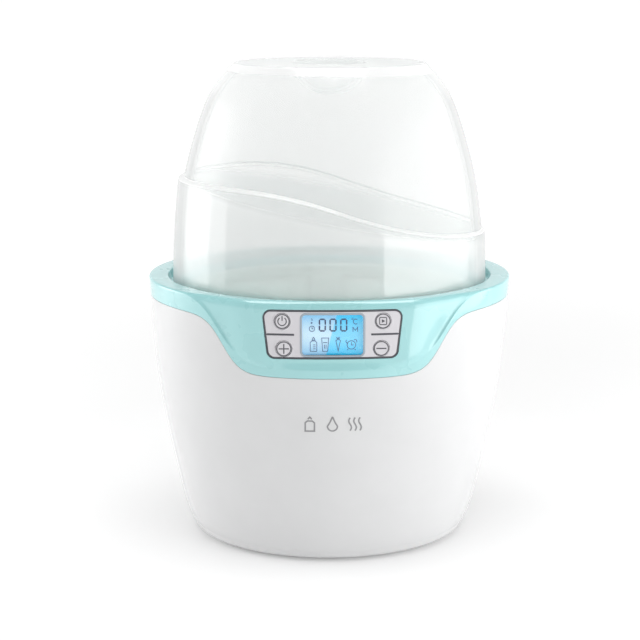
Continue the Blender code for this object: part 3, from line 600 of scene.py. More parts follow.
def lcd_material():
    """Backlit display: pale to strong blue from left to right, the pale left part a painted reflection that
    ends at a slanting edge, and paler across the middle than at top and bottom.
    """
    mat, graph, shader = new_material("lcd_backlit_blue")
    where = graph.axes(graph.place())
    slanted = graph.math("MULTIPLY_ADD", where["Y"], LCD_REFLECTION_SLANT, where["X"])
    # right is 0 over the pale left part, which is a painted reflection, and 1 past its slanting edge.
    right = graph.math("MULTIPLY_ADD", slanted, LCD_REFLECTION_EDGE, LCD_REFLECTION_SHIFT, clamp=True)
    off_middle = graph.math("ABSOLUTE", graph.math("MULTIPLY_ADD", where["Y"], 95.0, -0.05))
    deep = graph.math("POWER", off_middle, 1.6, clamp=True)
    colour = graph.mix(right, graph.mix(deep, (0.54, 0.75, 0.88), (0.22, 0.55, 0.82)),
                       graph.mix(deep, (0.20, 0.64, 0.90), (0.0, 0.55, 0.90)))
    graph.fill(shader, {"Base Color": colour, "Emission Color": colour, "Emission Strength": LCD_GLOW,
                        "Roughness": 0.2})
    return mat


# An upright clear wall's haze is painted darker where the wall is seen slantwise: painted shade for the grey
# bands at its edges.
PAINTED_RIM_SHADE_FADE = (0.58, 0.66)  # how far from square-on an upright wall's edge starts and ends to darken
SHOULDER_SLANT, SHOULDER_LEVEL, SHOULDER_BLEND = 0.20, 0.188, 0.006


def clear_plastic(name, haze, stops, shine, edge_shine, rough, milk=0.0, painted_rim_shade=0.85, upper=None):
    """Thin clear plastic: light passes straight through, less of it where the wall is seen slantwise,
    and a haze and a mirror-like shine lie over it. On upright walls the haze is painted darker where
    the wall is seen slantwise, a painted shade. Above the slanting shoulder all three may differ."""
    mat, graph, body = new_material(name)
    facing = graph.add("LayerWeight", {"Blend": 0.5}).outputs["Facing"]
    rim = graph.spread(facing, 0.0, 1.0, *PAINTED_RIM_SHADE_FADE, "SMOOTHSTEP")
    lie = graph.math("ABSOLUTE", graph.axes(graph.add("NewGeometry").outputs["Normal"])["Z"])
    upright = graph.math("MULTIPLY_ADD", lie, -3.0, 2.2, clamp=True)
    graph.fill(body, {
        # The haze on upright walls is painted darker towards the silhouette: painted shade.
        "Base Color": graph.mix(graph.math("MULTIPLY", upright, rim), haze, scaled(haze, painted_rim_shade)),
        "Roughness": 0.55, "IOR": 1.12, "Transmission Weight": milk})
    cover = graph.curve(facing, stops)
    share = graph.math("MULTIPLY_ADD", graph.math("POWER", facing, 5.0), edge_shine - shine, shine)
    polish = graph.spread(graph.noise(30.0), rough * 0.8, rough * 1.2)
    if upper:
        where = graph.axes(graph.place())
        level = graph.math("MULTIPLY_ADD", where["X"], SHOULDER_SLANT, where["Z"])
        start = 0.5 - SHOULDER_LEVEL / SHOULDER_BLEND
        above = graph.math("MULTIPLY_ADD", level, 1 / SHOULDER_BLEND, start, clamp=True)
        haze_share, shine_share, upper_rough = upper
        cover = graph.math("MULTIPLY", cover, graph.math("MULTIPLY_ADD", above, haze_share - 1.0, 1.0))
        share = graph.math("MULTIPLY", share, graph.math("MULTIPLY_ADD", above, shine_share - 1.0, 1.0))
        polish = graph.math("MULTIPLY_ADD", above, upper_rough - rough, polish)
    through = graph.add("BsdfTransparent").outputs["BSDF"]
    mirror = graph.add("BsdfGlossy", {"Roughness": polish}).outputs["BSDF"]
    hazy = graph.add("MixShader", {"Fac": cover, 1: through, 2: body.outputs["BSDF"]}).outputs["Shader"]
    glossy = graph.add("MixShader", {"Fac": share, 1: hazy, 2: mirror}).outputs["Shader"]
    graph.fill(graph.nodes["Material Output"], {"Surface": glossy})
    return mat


BOARD_GREEN, BOARD_TIN = (0.03, 0.17, 0.07), (0.72, 0.66, 0.50)
TIN = (0.62, 0.62, 0.60)
INK = (0.085, 0.085, 0.10)

white_shell = plastic("white_gloss_abs", (0.735, 0.738, 0.742), 0.22, coat=0.25)
teal_shell = plastic("teal_satin_abs", (0.355, 0.69, 0.70), 0.28, coat=0.9)
base_plastic = plastic("white_matt_abs", (0.72, 0.73, 0.73), 0.5, depth=0.00001)
rack_plastic = clear_plastic("milky_polypropylene", (0.70, 0.95, 0.89),
                             ((0.0, 0.75), (0.6, 0.85), (1.0, 0.95)), 0.03, 0.5, 0.25, milk=0.2)
tub_metal = plastic("coated_tub", (0.68, 0.90, 0.84), 0.30, grain=500.0, depth=0.00001, coat=0.3)
seal_silicone = plastic("seal_silicone", (0.72, 0.72, 0.70), 0.62)
foot_rubber = plastic("foot_rubber", (0.55, 0.56, 0.56), 0.75, grain=1500.0, depth=0.00003)
screw_steel = metal("screw_steel", TIN, 0.3)
gland_plastic = plastic("gland_plastic", (0.62, 0.63, 0.63), 0.55)
panel_grey = plastic("panel_satin_grey", (0.70, 0.685, 0.715), 0.38, grain=1600.0, depth=0.000003)
trim_dark = plastic("trim_dark_grey", INK, 0.35)
ink_dark = plastic("printed_ink", INK, 0.45)
ink_grey = plastic("printed_grey_ink", (0.30, 0.30, 0.31), 0.45)
bezel_grey = plastic("bezel_blue_grey", (0.36, 0.42, 0.48), 0.35)


# ---------------------------------------------------------------- casing

# Angles round the body, finer at the front.
PHI = np.radians(np.concatenate([np.arange(-66.0, 66.0, 0.75), np.arange(66.0, 294.0, 1.5)]))


def gland_ring(radius, y, turn):
    """A ring of points round the line of the cord."""
    return np.stack([radius * np.sin(turn), y + 0 * turn, GLAND_Z + radius * np.cos(turn)], axis=-1)


def build_housing():
    edge, foot = seam_z(PHI) - SEAM_GAP, FOOT_CURVE[0][1]

    def oval(a, z, inset=0.0):
        return on_ellipse(a - inset, DEPTH_RATIO * a - inset, z, PHI)

    def wall(share, inset=0.0):
        return plain(plain_skin(PHI, FOOT_ROUND_TOP + share * (edge - FOOT_ROUND_TOP), inset))

    steps = [corner(oval(foot, HOUSING_BOTTOM, 0.0020), 0.0004, 3),
             corner(oval(foot, HOUSING_BOTTOM), 0.0003, 3)]
    steps += [plain(oval(foot_a(t), foot_z(t))) for t in np.linspace(0.35, 3.2, 9)]
    steps += [wall(share) for share in np.linspace(0, 0.985, 30)]
    steps += [corner(plain_skin(PHI, edge), 0.00035, 5), corner(plain_skin(PHI, edge, WALL), 0.00035, 4)]
    steps += [wall(share, WALL) for share in (0.97, 0.8, 0.6, 0.4, 0.2, 0.0)]
    housing = closed_shell("housing_shell", steps)
    hole, turn = Solid(), even_turn(48, 0.5)
    hole.stack([gland_ring(GLAND_HOLE_R, y, turn) for y in GLAND_HOLE_REACH])
    carve(housing, ("DIFFERENCE", hole.object("gland_hole")))
    piece(housing, white_shell, "base", ["housing"])

    bosses = Solid()
    for spot in SCREW_SPOTS:
        section = ((BOSS_R, BOSS_LOW), (BOSS_R, BOSS_HIGH), (SCREW_HOLE_R, BOSS_HIGH), (SCREW_HOLE_R, BOSS_LOW))
        bosses.torus(np.stack([on_ellipse(r, r, z, even_turn(32)) + (*spot, 0) for r, z in section], axis=1))
        along = Vector(spot).normalized()
        across = Vector((-along.y, along.x)) * BOSS_RIB_HALF
        near = Vector(spot) + along * (BOSS_R + 0.0001)
        far = along * (BOSS_RIB_END_X if spot[0] else BOSS_RIB_END_Y)
        bosses.prism([near - across, far - across, far + across, near + across],
                     BOSS_LOW + 0.0004, BOSS_HIGH - 0.0004)
    piece(bosses.object("screw_bosses"), white_shell, "base")


def build_collar(panel):
    seam = seam_z(PHI)
    across, down = rim_round(PHI)
    high = RIM_TOP - down
    crease = np.minimum(crease_z(PHI), high - 0.0012)

    def oval(a, b, z):
        return on_ellipse(a, b, z, PHI)

    def between(low, top, shares, inset=0.0):
        return [plain(skin(PHI, low + share * (top - low), inset)) for share in shares]

    steps = [corner(skin(PHI, seam), 0.00035, 5)]
    steps += between(seam, crease, (0.25, 0.5, 0.72))
    steps.append(corner(skin(PHI, crease), np.minimum(0.0007, 0.04 * (high - crease)), 5))
    steps += between(crease, high, (0.045, 0.06, 0.08, 0.10, 0.12, 0.145, 0.18, 0.23,
                                    0.29, 0.36, 0.44, 0.53, 0.62, 0.72, 0.82, 0.91))
    for angle in np.radians(np.linspace(0, 90, 9)):
        steps.append(plain(skin(PHI, RIM_TOP - down * (1 - np.sin(angle)), across * (1 - np.cos(angle)))))
    back_a, back_b = LIP_A + LIP_WALL, LIP_B + LIP_WALL
    steps += [corner(oval(OPENING_A, OPENING_B, RIM_TOP), 0.0006, 5),
              corner(oval(LEDGE_A, LEDGE_B, LEDGE_TOP), 0.0004, 3),
              corner(oval(LIP_A, LIP_B, LEDGE_TOP), 0.0004, 4),
              plain(oval(LIP_A, LIP_B, (LEDGE_TOP + LIP_BOTTOM) / 2)),
              corner(oval(LIP_A, LIP_B, LIP_BOTTOM), 0.0003, 3),
              corner(oval(back_a, back_b, LIP_BOTTOM), 0.0003, 3),
              plain(oval(back_a, back_b, LEDGE_UNDER))]
    lap, foot, lap_low = WALL + LAP_GAP, seam + 0.0015, seam - LAP_HEIGHT
    steps += between(foot, LEDGE_UNDER, (1.0, 0.6, 0.3), WALL)
    steps += [plain(plain_skin(PHI, z, inset)) for z, inset in (
        (foot, lap + LAP_WALL), (lap_low, lap + LAP_WALL), (lap_low, lap), (seam, lap))]
    collar = closed_shell("collar_shell", steps)
    pocket = bowed_slab("pocket", 0.0060, -PLATE_THICK - POCKET_GAP, panel)
    carve(pocket, ("INTERSECT", prism("pocket_edge", panel_outline(POCKET_GAP), -0.008, 0.008, panel)))
    window = prism("panel_window", box_outline(*PANEL_WINDOW), -PANEL_CUT, 0.004, panel)
    carve(collar, ("DIFFERENCE", pocket), ("DIFFERENCE", window))
    piece(collar, teal_shell, "base", ["collar"])


def bowed_slab(name, front, back, matrix):
    """A slab as bowed as the panel's face, between two distances in front of that face."""
    margin = 0.004
    sides = np.linspace(-PANEL_HALF_TOP - margin, PANEL_HALF_TOP + margin, 81)
    solid = Solid()
    solid.stack([[(u, v, front - float(panel_bend(u))) for u in sides]
                 + [(u, v, back - float(panel_bend(u))) for u in sides[::-1]]
                 for v in (PANEL_BOTTOM - margin, PANEL_TOP + margin)])
    return solid.object(name, matrix)


def build_base():
    def ring(inset, z):
        return on_ellipse(PLATE_A - inset, PLATE_B - inset, z, even_turn(144))

    low, high = PLATE_LOW, PLATE_HIGH
    plate = Solid()
    plate.stack([ring(*step) for step in (
        (0.0480, low), (0.0120, low), (0.0115, low + 0.0004), (0.0105, low + 0.0004), (0.0100, low),
        (0.0006, low), (0.0002, low + 0.0002), (0.0, low + 0.0006), (0.0, high - 0.0003), (0.0003, high),
        (0.0060, high), (0.0200, high), (0.0480, high))])
    cover = plate.object("base_cover")
    posts, holes, slots = Solid(), Solid(), Solid()
    for x in (-POST_X, POST_X):
        for y in (-POST_Y, POST_Y):
            posts.rod(POST_R, high - 0.0005, POST_TOP, 24, (x, y))
    for spot in SCREW_SPOTS:
        # Half a step keeps the corners off the plate's edges, which run along both axes here.
        holes.rod(SCREW_HOLE_R, low - 0.001, high + 0.001, 24, spot, 0.5)
    for row in range(-2, 3):
        for x in (-VENT_MARK_X, VENT_MARK_X):
            y = row * VENT_MARK_PITCH
            mark = box_outline(x - VENT_MARK_LONG, x + VENT_MARK_LONG,
                               y - VENT_MARK_HALF, y + VENT_MARK_HALF, 0.00088, 5)
            slots.prism(mark, low - 0.001, low + VENT_MARK_DEPTH)
    carve(cover, ("UNION", posts.object("plate_posts")), ("DIFFERENCE", holes.object("plate_holes")),
          ("DIFFERENCE", slots.object("plate_slots")))
    piece(cover, base_plastic, "base", ["base_plate"])

    profile = ((0.0030, 0.0), (FOOT_R - 0.0009, 0.0), (FOOT_R - 0.0004, 0.0001),
               (FOOT_R - 0.0001, 0.0004), (FOOT_R, 0.0009), (FOOT_R, FOOT_TOP - 0.0002),
               (FOOT_R - 0.0002, FOOT_TOP), (0.0030, FOOT_TOP))
    for i, (x, y) in enumerate(((-1, -1), (1, -1), (1, 1), (-1, 1)), 1):
        foot = Solid()
        foot.turned(profile, 48, (x * FOOT_X, y * FOOT_Y))
        piece(foot.object(f"rubber_foot_{i}"), foot_rubber, "base", [f"foot_{i}"])

    head = low - POCKET_GAP
    profile = [(0.0010, head - 0.0013), (0.0022, head - 0.0013), (SCREW_HEAD_R - 0.0004, head - 0.0011),
               (SCREW_HEAD_R, head - 0.0007), (SCREW_HEAD_R, head), (SCREW_R, head)]
    profile += [(SCREW_R - 0.0003 * (step % 2), head + 0.0008 + 0.0005 * step) for step in range(16)]
    profile += [(0.0006, 0.0140)]
    for i, (x, y) in enumerate(SCREW_SPOTS, 1):
        screw, cross = Solid(), Solid()
        screw.turned(profile, 32, (x, y))
        outline = [(x + u, y + v) for u, v in plus_outline(0.0015, 0.00032)]
        cross.prism(outline, head - 0.0020, head - 0.0006)
        screw = carve(screw.object(f"cover_screw_{i}"), ("DIFFERENCE", cross.object(f"cross_{i}")))
        piece(screw, screw_steel, "base", [f"base_screw_{i}"])


def build_gland():
    """The cord's bushing: a flange inside, a neck, a collar and ribs, as (radius, y) steps."""
    profile = [(0.0034, 0.0560), (0.0064, 0.0560), (0.0068, 0.0564), (0.0068, 0.0585), (0.0052, 0.0588),
               (0.0052, 0.0656), (0.0070, 0.0658), (0.0074, 0.0662), (0.0074, 0.0670), (0.0070, 0.0674)]
    for step in range(4):
        y = 0.0677 + step * 0.0007
        profile += [(0.0060 - step * 0.0004, y), (0.0054 - step * 0.0003, y + 0.0003)]
    profile += [(0.0044, 0.0705), (0.0037, 0.0705), (0.0034, 0.0702)]
    turn, gland = even_turn(64), Solid()
    gland.torus(np.stack([gland_ring(r, y, turn) for r, y in profile], axis=1))
    piece(gland.object("cord_bushing"), gland_plastic, "base", ["cord_gland"])


# ---------------------------------------------------------------- dome

DOME_TURN = even_turn(288)
TOP_A, TOP_B = 0.040, 0.033  # the flat of the dome's top
SHOULDER_BAND = (0.160, 0.210)  # heights between which the shoulder runs
TOP_RIM_LEVEL, TOP_RIM_INSIDE = 0.260, 0.032
# These pick the upward faces of the shoulder and the top rim that carry the dome's painted highlight.
LEVEL_ENOUGH, RIM_LIE = 0.35, (0.50, 0.85)  # how far a bright edge's faces look upwards


def dome_ring(a, z, inset=0.0):
    return on_ellipse(a - inset, DOME_RATIO * a - inset, z, DOME_TURN)


def dome_side(inset, top, drop):
    """Rings of the dome's wall from its base up over the shoulder to its top edge."""
    step = shoulder_z(0.0855 * np.sin(DOME_TURN)) - drop
    skirt_high, upper_low, upper_high = step - 0.0016, step + 0.0016, top - 0.0022
    skirt = [DOME_BASE + share * (skirt_high - DOME_BASE) for share in np.linspace(0.04, 1.0, 16)]
    upper = [upper_low + share * (upper_high - upper_low) for share in np.linspace(0, 1.0, 30)]
    return ([plain(dome_ring(skirt_a(z), z, inset)) for z in skirt]
            + [corner(dome_ring(skirt_a(step), step - 0.0003, inset), 0.0010, 6),
               corner(dome_ring(upper_a(step + 0.0006) + 0.0001, step + 0.0004, inset), 0.0005, 5)]
            + [plain(dome_ring(upper_a(z), z, inset)) for z in upper]
            + [corner(dome_ring(upper_a(min(top, UPPER_CURVE[-1][0])) - 0.0008, top, inset), 0.0014, 6)])


def build_dome():
    floor, under = DOME_TOP - BOWL_DEPTH, DOME_TOP - DOME_TOP_WALL
    bowl = curve_through(((0.0, 0.0012), (1.0, 0.0065), (2.0, 0.0121), (3.0, BOWL_DEPTH)))
    width = curve_through(((0.0, 0.0198), (1.0, 0.0172), (2.0, 0.0118), (3.0, 0.0048)))

    def turned(r, z):
        return on_ellipse(r, r, z, DOME_TURN)

    def top(z):
        return plain(on_ellipse(TOP_A, TOP_B, z, DOME_TURN))

    steps = [corner(dome_ring(skirt_a(DOME_BASE), DOME_BASE), 0.0005, 4)]
    steps += dome_side(0.0, DOME_TOP, 0.0)
    steps += [top(DOME_TOP), plain(turned(BOWL_R + 0.0040, DOME_TOP)),
              corner(turned(BOWL_R + 0.0004, DOME_TOP), 0.0009, 5)]
    steps += [plain(turned(width(t), DOME_TOP - bowl(t))) for t in np.linspace(0.1, 3.0, 14)]
    steps += [corner(turned(VENT_R, z), 0.0004, 4) for z in (floor, floor - DOME_WALL)]
    for t in np.linspace(3.0, 0.1, 14):
        slope = math.atan2(float(bowl(t + 0.01) - bowl(t - 0.01)), float(width(t - 0.01) - width(t + 0.01)))
        r = float(width(t)) + DOME_WALL * math.sin(slope)
        z = DOME_TOP - float(bowl(t)) - DOME_WALL * math.cos(slope)
        steps.append(plain(turned(r, min(z, under - 0.0006))))
    steps += [plain(turned(BOWL_R + 0.0052, under)), top(under)]
    steps += dome_side(DOME_WALL, under, DOME_LEDGE_WALL)[::-1]
    steps.append(corner(dome_ring(float(skirt_a(DOME_BASE)), DOME_BASE, DOME_WALL), 0.0005, 4))
    clear = clear_plastic("clear_dome_plastic", (0.99, 0.995, 0.992),
                          ((0.0, 0.32), (0.58, 0.34), (0.66, 0.58), (0.90, 0.66)), 0.080, 0.16, 0.05,
                          painted_rim_shade=0.76, upper=(0.60, 0.35, 0.26))
    # A whiter, less clear haze for the shoulder's upward faces and the top's edge: a painted highlight, with
    # real gloss over it.
    painted_highlight_edge = clear_plastic("clear_dome_painted_highlight", (1.0, 1.0, 1.0), ((0.0, 0.75), (1.0, 0.85)),
                                0.08, 0.5, 0.12, milk=0.2, painted_rim_shade=1.0)
    dome = piece(closed_shell("clear_dome", steps), clear, "steam_dome", ["steam_dome"])
    dome.data.materials.append(painted_highlight_edge)
    # Faces on the shoulder ledge and round the top's edge get the painted highlight.
    for face in dome.data.polygons:
        spot, lie = face.center, face.normal.z
        on_shoulder = SHOULDER_BAND[0] < spot.z < SHOULDER_BAND[1] and lie > LEVEL_ENOUGH
        at_top_rim = spot.z > TOP_RIM_LEVEL and math.hypot(*spot.xy) > TOP_RIM_INSIDE
        if on_shoulder or at_top_rim and RIM_LIE[0] < lie < RIM_LIE[1]:
            face.material_index = 1


# ---------------------------------------------------------------- tub and rack

TUB_BEND = 0.060  # height at which the tub's floor curve meets its wall


def tub_size(z, inset=0.0):
    share = (z - TUB_BEND) / (TUB_TOP - TUB_BEND)
    return (TUB_FLOOR_A + share * (TUB_A - TUB_FLOOR_A) - inset,
            TUB_FLOOR_B + share * (TUB_B - TUB_FLOOR_B) - inset)


def build_tub():
    turn = even_turn(180)
    floor, top, under = TUB_FLOOR, TUB_TOP, TUB_TOP - TUB_WALL
    rings = [(0.0200, 0.0120, floor), (0.0480, 0.0300, floor), (0.0560, 0.0372, floor + 0.0001),
             (0.0605, 0.0415, floor + 0.0006), (0.0640, 0.0447, floor + 0.0020),
             (0.0658, 0.0464, floor + 0.0044)]
    rings += [(*tub_size(z), z) for z in np.linspace(TUB_BEND, top - 0.0009, 14)]
    rings += [(TUB_A + 0.0002, TUB_B + 0.0002, top - 0.0003), (TUB_A + 0.0009, TUB_B + 0.0009, top)]
    rings += [(FLANGE_A - back, FLANGE_B - back, z) for back, z in (
        (0.0003, top), (0.0, top - 0.0003), (0.0, under + 0.0003), (0.0003, under))]
    rings += [(*tub_size(z, -TUB_WALL), z) for z in np.linspace(under, TUB_BEND, 8)]
    rings += [(0.0656, 0.0463, floor + 0.0012), (0.0640, 0.0447, floor - 0.0001),
              (0.0600, 0.0409, floor - 0.0010), (0.0560, 0.0370, floor - TUB_WALL),
              (0.0200, 0.0120, floor - TUB_WALL)]
    tub, seal = Solid(), Solid()
    tub.stack([on_ellipse(*ring, turn) for ring in rings])
    piece(tub.object("tub_liner"), tub_metal, "base", ["heating_tub"])

    profile = ((0.0002, 0.1344), (0.0004, 0.1343), (0.0007, 0.1343), (0.0009, 0.1345),
               (0.0009, 0.1355), (0.0007, 0.1357), (0.0004, 0.1357), (0.0002, 0.1355))
    seal.torus(np.stack([on_ellipse(LIP_A + grow, LIP_B + grow, z, turn) for grow, z in profile], axis=1))
    piece(seal.object("silicone_seal"), seal_silicone, "base", ["tub_seal"])


def build_rack():
    turn, low = even_turn(180), TUB_TOP + POCKET_GAP
    outer, inner = (LIP_A - 0.0012, LIP_B - 0.0012), (TUB_A - 0.0024, TUB_B - 0.0024)
    section = ((outer, low, 0.0004, 4), (outer, RACK_TOP, 0.0009, 6),
               (inner, RACK_TOP, 0.0007, 6), (inner, low, 0.0004, 4))
    rack = closed_shell("rack_rim", [corner(on_ellipse(*size, z, turn), setback, count)
                                     for size, z, setback, count in section])

    straps, floor, holes = Solid(), Solid(), Solid()
    for middle, width in ((0.0, STRAP_HALF), (math.pi, STRAP_HALF),
                          (math.pi / 2, 0.8 * STRAP_HALF), (-math.pi / 2, 0.8 * STRAP_HALF)):
        rings = []
        for z in (RACK_TOP - 0.0006, *np.linspace(0.1330, RACK_FLOOR + 0.0004, 16)):
            a, b = tub_size(min(z, TUB_TOP - 0.0010), RACK_CLEARANCE)
            across = middle + np.linspace(-1, 1, 9) * width / (a if abs(math.cos(middle)) > 0.5 else b)
            thick = RACK_WALL + (0.0012 if z > 0.12 else 0.0)
            rings.append(np.concatenate([on_ellipse(a, b, z, across),
                                         on_ellipse(a - thick, b - thick, z, across[::-1])]))
        straps.stack(rings)
    a, b = tub_size(RACK_FLOOR, RACK_CLEARANCE + 0.0003)
    floor.stack([on_ellipse(a - cut, b - cut, RACK_FLOOR + z, turn)
                 for cut, z in ((0.0004, 0.0), (0.0, 0.0004), (0.0, 0.0021), (0.0004, 0.0025))])
    for x in (-BOTTLE_SPOT, BOTTLE_SPOT):
        holes.rod(RACK_HOLE_R, *RACK_HOLE_REACH, 40, (x, 0.0))
        for way in math.pi / 6 + np.arange(6) * math.pi / 3:
            spot = (x + HOLE_CIRCLE * math.sin(way), HOLE_CIRCLE * math.cos(way))
            holes.rod(SMALL_HOLE_R, *RACK_HOLE_REACH, 28, spot)
    for y in (-0.026, 0.0, 0.026):
        holes.rod(SMALL_HOLE_R, *RACK_HOLE_REACH, 28, (0.0, y))
    carve(rack, ("UNION", straps.object("rack_straps")), ("UNION", floor.object("rack_floor")),
          ("DIFFERENCE", holes.object("rack_holes")), weld=WELD)
    rack.name = "bottle_rack"
    piece(rack, rack_plastic, "bottle_basket", ["bottle_basket"])


# ---------------------------------------------------------------- control panel

def on_panel(u, v, height):
    """Points of the panel's bowed face, raised by height, in the panel's own frame."""
    u, v = np.asarray(u, float), np.asarray(v, float)
    return np.stack([u, v, height - panel_bend(u)], axis=-1)


def flat_at(level):
    def place(u, v, height):
        u = np.asarray(u, float)
        return np.stack([u, np.asarray(v, float), level + height + 0 * u], axis=-1)
    return place


def window_outline(grow=0.0):
    side = WINDOW_HALF + grow
    return box_outline(-side, side, WINDOW_BOTTOM - grow, WINDOW_TOP + grow, WINDOW_CORNER)


def frame_around(name, outline, profile, panel):
    """A closed ring along an outline, from (inward distance, height) steps of its section."""
    ring, paths = Solid(), [(offset_path(outline, inward, True), height) for inward, height in profile]
    ring.torus(np.stack([on_panel(*path.T, height) for path, height in paths], axis=1))
    return ring.object(name, panel)


def build_panel(panel):
    edge, top = 0.00014, 0.00012
    trim = frame_around("outline_trim", finer(panel_outline(0.0), 0.001), (
        (0.0, -PLATE_THICK), (0.0, -0.00002), (edge, top), (TRIM_WIDTH - edge, top),
        (TRIM_WIDTH, -0.00002), (TRIM_WIDTH, -PLATE_THICK)), panel)
    piece(trim, trim_dark, "base", ["panel_trim"])

    plate, holes = bowed_slab("grey_plate", 0.0, -PLATE_THICK, panel), Solid()
    for spot in BUTTON_SPOTS.values():
        holes.rod(BUTTON_HOLE_R, -0.006, 0.004, 64, spot)
    inside = prism("plate_edge", panel_outline(-TRIM_WIDTH - 0.00012), -0.008, 0.008, panel)
    window = prism("plate_window", window_outline(POCKET_GAP), -0.006, 0.004, panel)
    carve(plate, ("INTERSECT", inside), ("DIFFERENCE", window),
          ("DIFFERENCE", holes.object("plate_holes", panel)))
    piece(plate, panel_grey, "base", ["panel_plate"])

    bezel = frame_around("display_bezel", finer(window_outline(), 0.001), (
        (0.0001, 0.0), (0.0001, 0.00016), (-0.00025, 0.00030), (-0.00070, 0.00028), (-0.00095, 0.00012),
        (-0.00100, 0.0)), panel)
    piece(bezel, bezel_grey, "base")

    bars = Relief(on_panel, -0.00003, 0.00010)
    for side in (-1, 1):
        for start, end, width in ((0.0198, 0.0336, 0.0010), (0.03362, 0.0349, 0.0006)):
            bars.stroke([(side * start, 0.00125), (side * end, 0.00125)], width)
    piece(bars.object("divider_bars", panel), ink_dark, "base")


def power_symbol(marks):
    marks.stroke(arc((0, 0), 0.00215, 125, 415), 0.00050)
    marks.stroke([(0, 0.00035), (0, 0.00275)], 0.00055)


def mode_symbol(marks):
    marks.stroke(box_outline(-0.0018, 0.0018, -0.0019, 0.0019, 0.0006), 0.00045, closed=True)
    marks.fill([(-0.00065, -0.00095), (0.00105, 0.0), (-0.00065, 0.00095)])


def plus_symbol(marks):
    marks.fill(plus_outline(0.0026, 0.0003))


def minus_symbol(marks):
    marks.fill(box_outline(-0.0026, 0.0026, -0.0003, 0.0003))


def build_buttons(panel):
    symbols = {"power_button": power_symbol, "mode_button": mode_symbol,
               "plus_button": plus_symbol, "minus_button": minus_symbol}
    for name, (x, y) in BUTTON_SPOTS.items():
        place = panel @ Matrix.Translation((x, y, 0))
        face = -float(panel_bend(x))
        shoulder, top = BUTTON_BACK + 0.0006, face + 0.00030
        cap = Solid()
        cap.turned(((0.0020, BUTTON_BACK), (BUTTON_FLANGE_R, BUTTON_BACK), (BUTTON_FLANGE_R, shoulder),
                    (BUTTON_R, shoulder), (BUTTON_R, face + 0.00008), (BUTTON_R - 0.00008, face + 0.00022),
                    (BUTTON_R - 0.00024, top), (0.0030, top), (0.0012, top)), 64)
        piece(cap.object(name.replace("button", "cap"), place), panel_grey, name, [name])
        marks = Relief(flat_at(top), -0.00003, 0.00006)
        marks.stroke(circle((0, 0), 0.00363), 0.00052, closed=True)
        symbols[name](marks)
        piece(marks.object(name.replace("button", "symbol"), place), ink_dark, name)


# ---------------------------------------------------------------- display

ICON_LINE = 0.00034
# Strokes of each icon, as (points, closed), in half widths and heights of its box,
# measured from the middle of its foot.
BOTTLE = (
    (((-1, 0), (1, 0), (1, 0.62), (0.572, 0.74), (-0.572, 0.74), (-1, 0.62)), True),
    (((-0.44, 0.80), (0.44, 0.80), (0.264, 0.92), (0, 1), (-0.264, 0.92)), True),
    *((((-0.1, level), (0.6, level)), False) for level in (0.18, 0.32, 0.46)),
)
CUP = (
    (((-0.72, 0), (0.72, 0), (1, 1), (-1, 1)), True),
    (((-0.62, 0.66), (0.62, 0.66)), False),
    *((((side, 0.2), (side, 0.5)), False) for side in (-0.2, 0.25)),
)
CARROT = (
    (((0, 0), (0.55, 0.42), (1, 0.74), (0.5, 0.82), (-0.5, 0.82), (-1, 0.74), (-0.55, 0.42)), True),
    *((((0.4 * lean, 0.86), (lean, 1)), False) for lean in (-0.7, 0.0, 0.7)),
)


# Each icon with the middle of its foot, its width and its height.
ICONS = (
    (BOTTLE, -0.0098, -0.0079, 0.0034, 0.0074),
    (CUP, -0.0038, -0.0079, 0.0036, 0.0070),
    (CARROT, 0.0029, -0.0079, 0.0024, 0.0075),
)
ALARM = (0.0097, -0.0046, 0.0022, 0.00036)  # middle, radius and line
CLOCK = (-0.0106, 0.0040, 0.0014, ICON_LINE)
DIGIT_LEFTS, DIGIT_LOW = (-0.0071, -0.0016, 0.0039), 0.0025
DIGIT_WIDTH, DIGIT_HEIGHT, DIGIT_STROKE, DIGIT_GAP = 0.0037, 0.0068, 0.00072, 0.00012


def draw_icon(icons, strokes, x, low, width, height):
    for points, closed in strokes:
        icons.stroke([(x + u * width / 2, low + v * height) for u, v in points], ICON_LINE, closed)


def clock_icon(icons, x, y, radius, line):
    icons.stroke(circle((x, y), radius), line, closed=True)
    icons.stroke([(x, y + radius * 0.62), (x, y), (x + radius * 0.5, y)], line)


def alarm_bells(icons, x, y, radius, line):
    for side in (-1, 1):
        start, middle = 45 - 80 * side, (x + side * radius * 0.86, y + radius * 0.86)
        icons.stroke(arc(middle, radius * 0.42, start, start + 160, 14), line)
        icons.stroke([(x + side * radius * 0.75, y - radius * 0.95),
                      (x + side * radius, y - radius * 1.25)], line)


def segment_digit(digits, left):
    """The six outer segments of a digit that reads 0, with small gaps between them."""
    low, stroke, gap, half = DIGIT_LOW, DIGIT_STROKE, DIGIT_GAP, DIGIT_STROKE / 2
    right, top, middle = left + DIGIT_WIDTH, low + DIGIT_HEIGHT, low + DIGIT_HEIGHT / 2
    first, last = left + stroke + gap, right - stroke - gap
    for y in (low + half, top - half):
        digits.fill([(left + half + gap, y), (first, y - half), (last, y - half),
                     (right - half - gap, y), (last, y + half), (first, y + half)])
    for x in (left + half, right - half):
        for start, end in ((low + half + gap, middle - gap), (middle + gap, top - half - gap)):
            digits.fill([(x, start), (x + half, start + half), (x + half, end - half), (x, end),
                         (x - half, end - half), (x - half, start + half)])


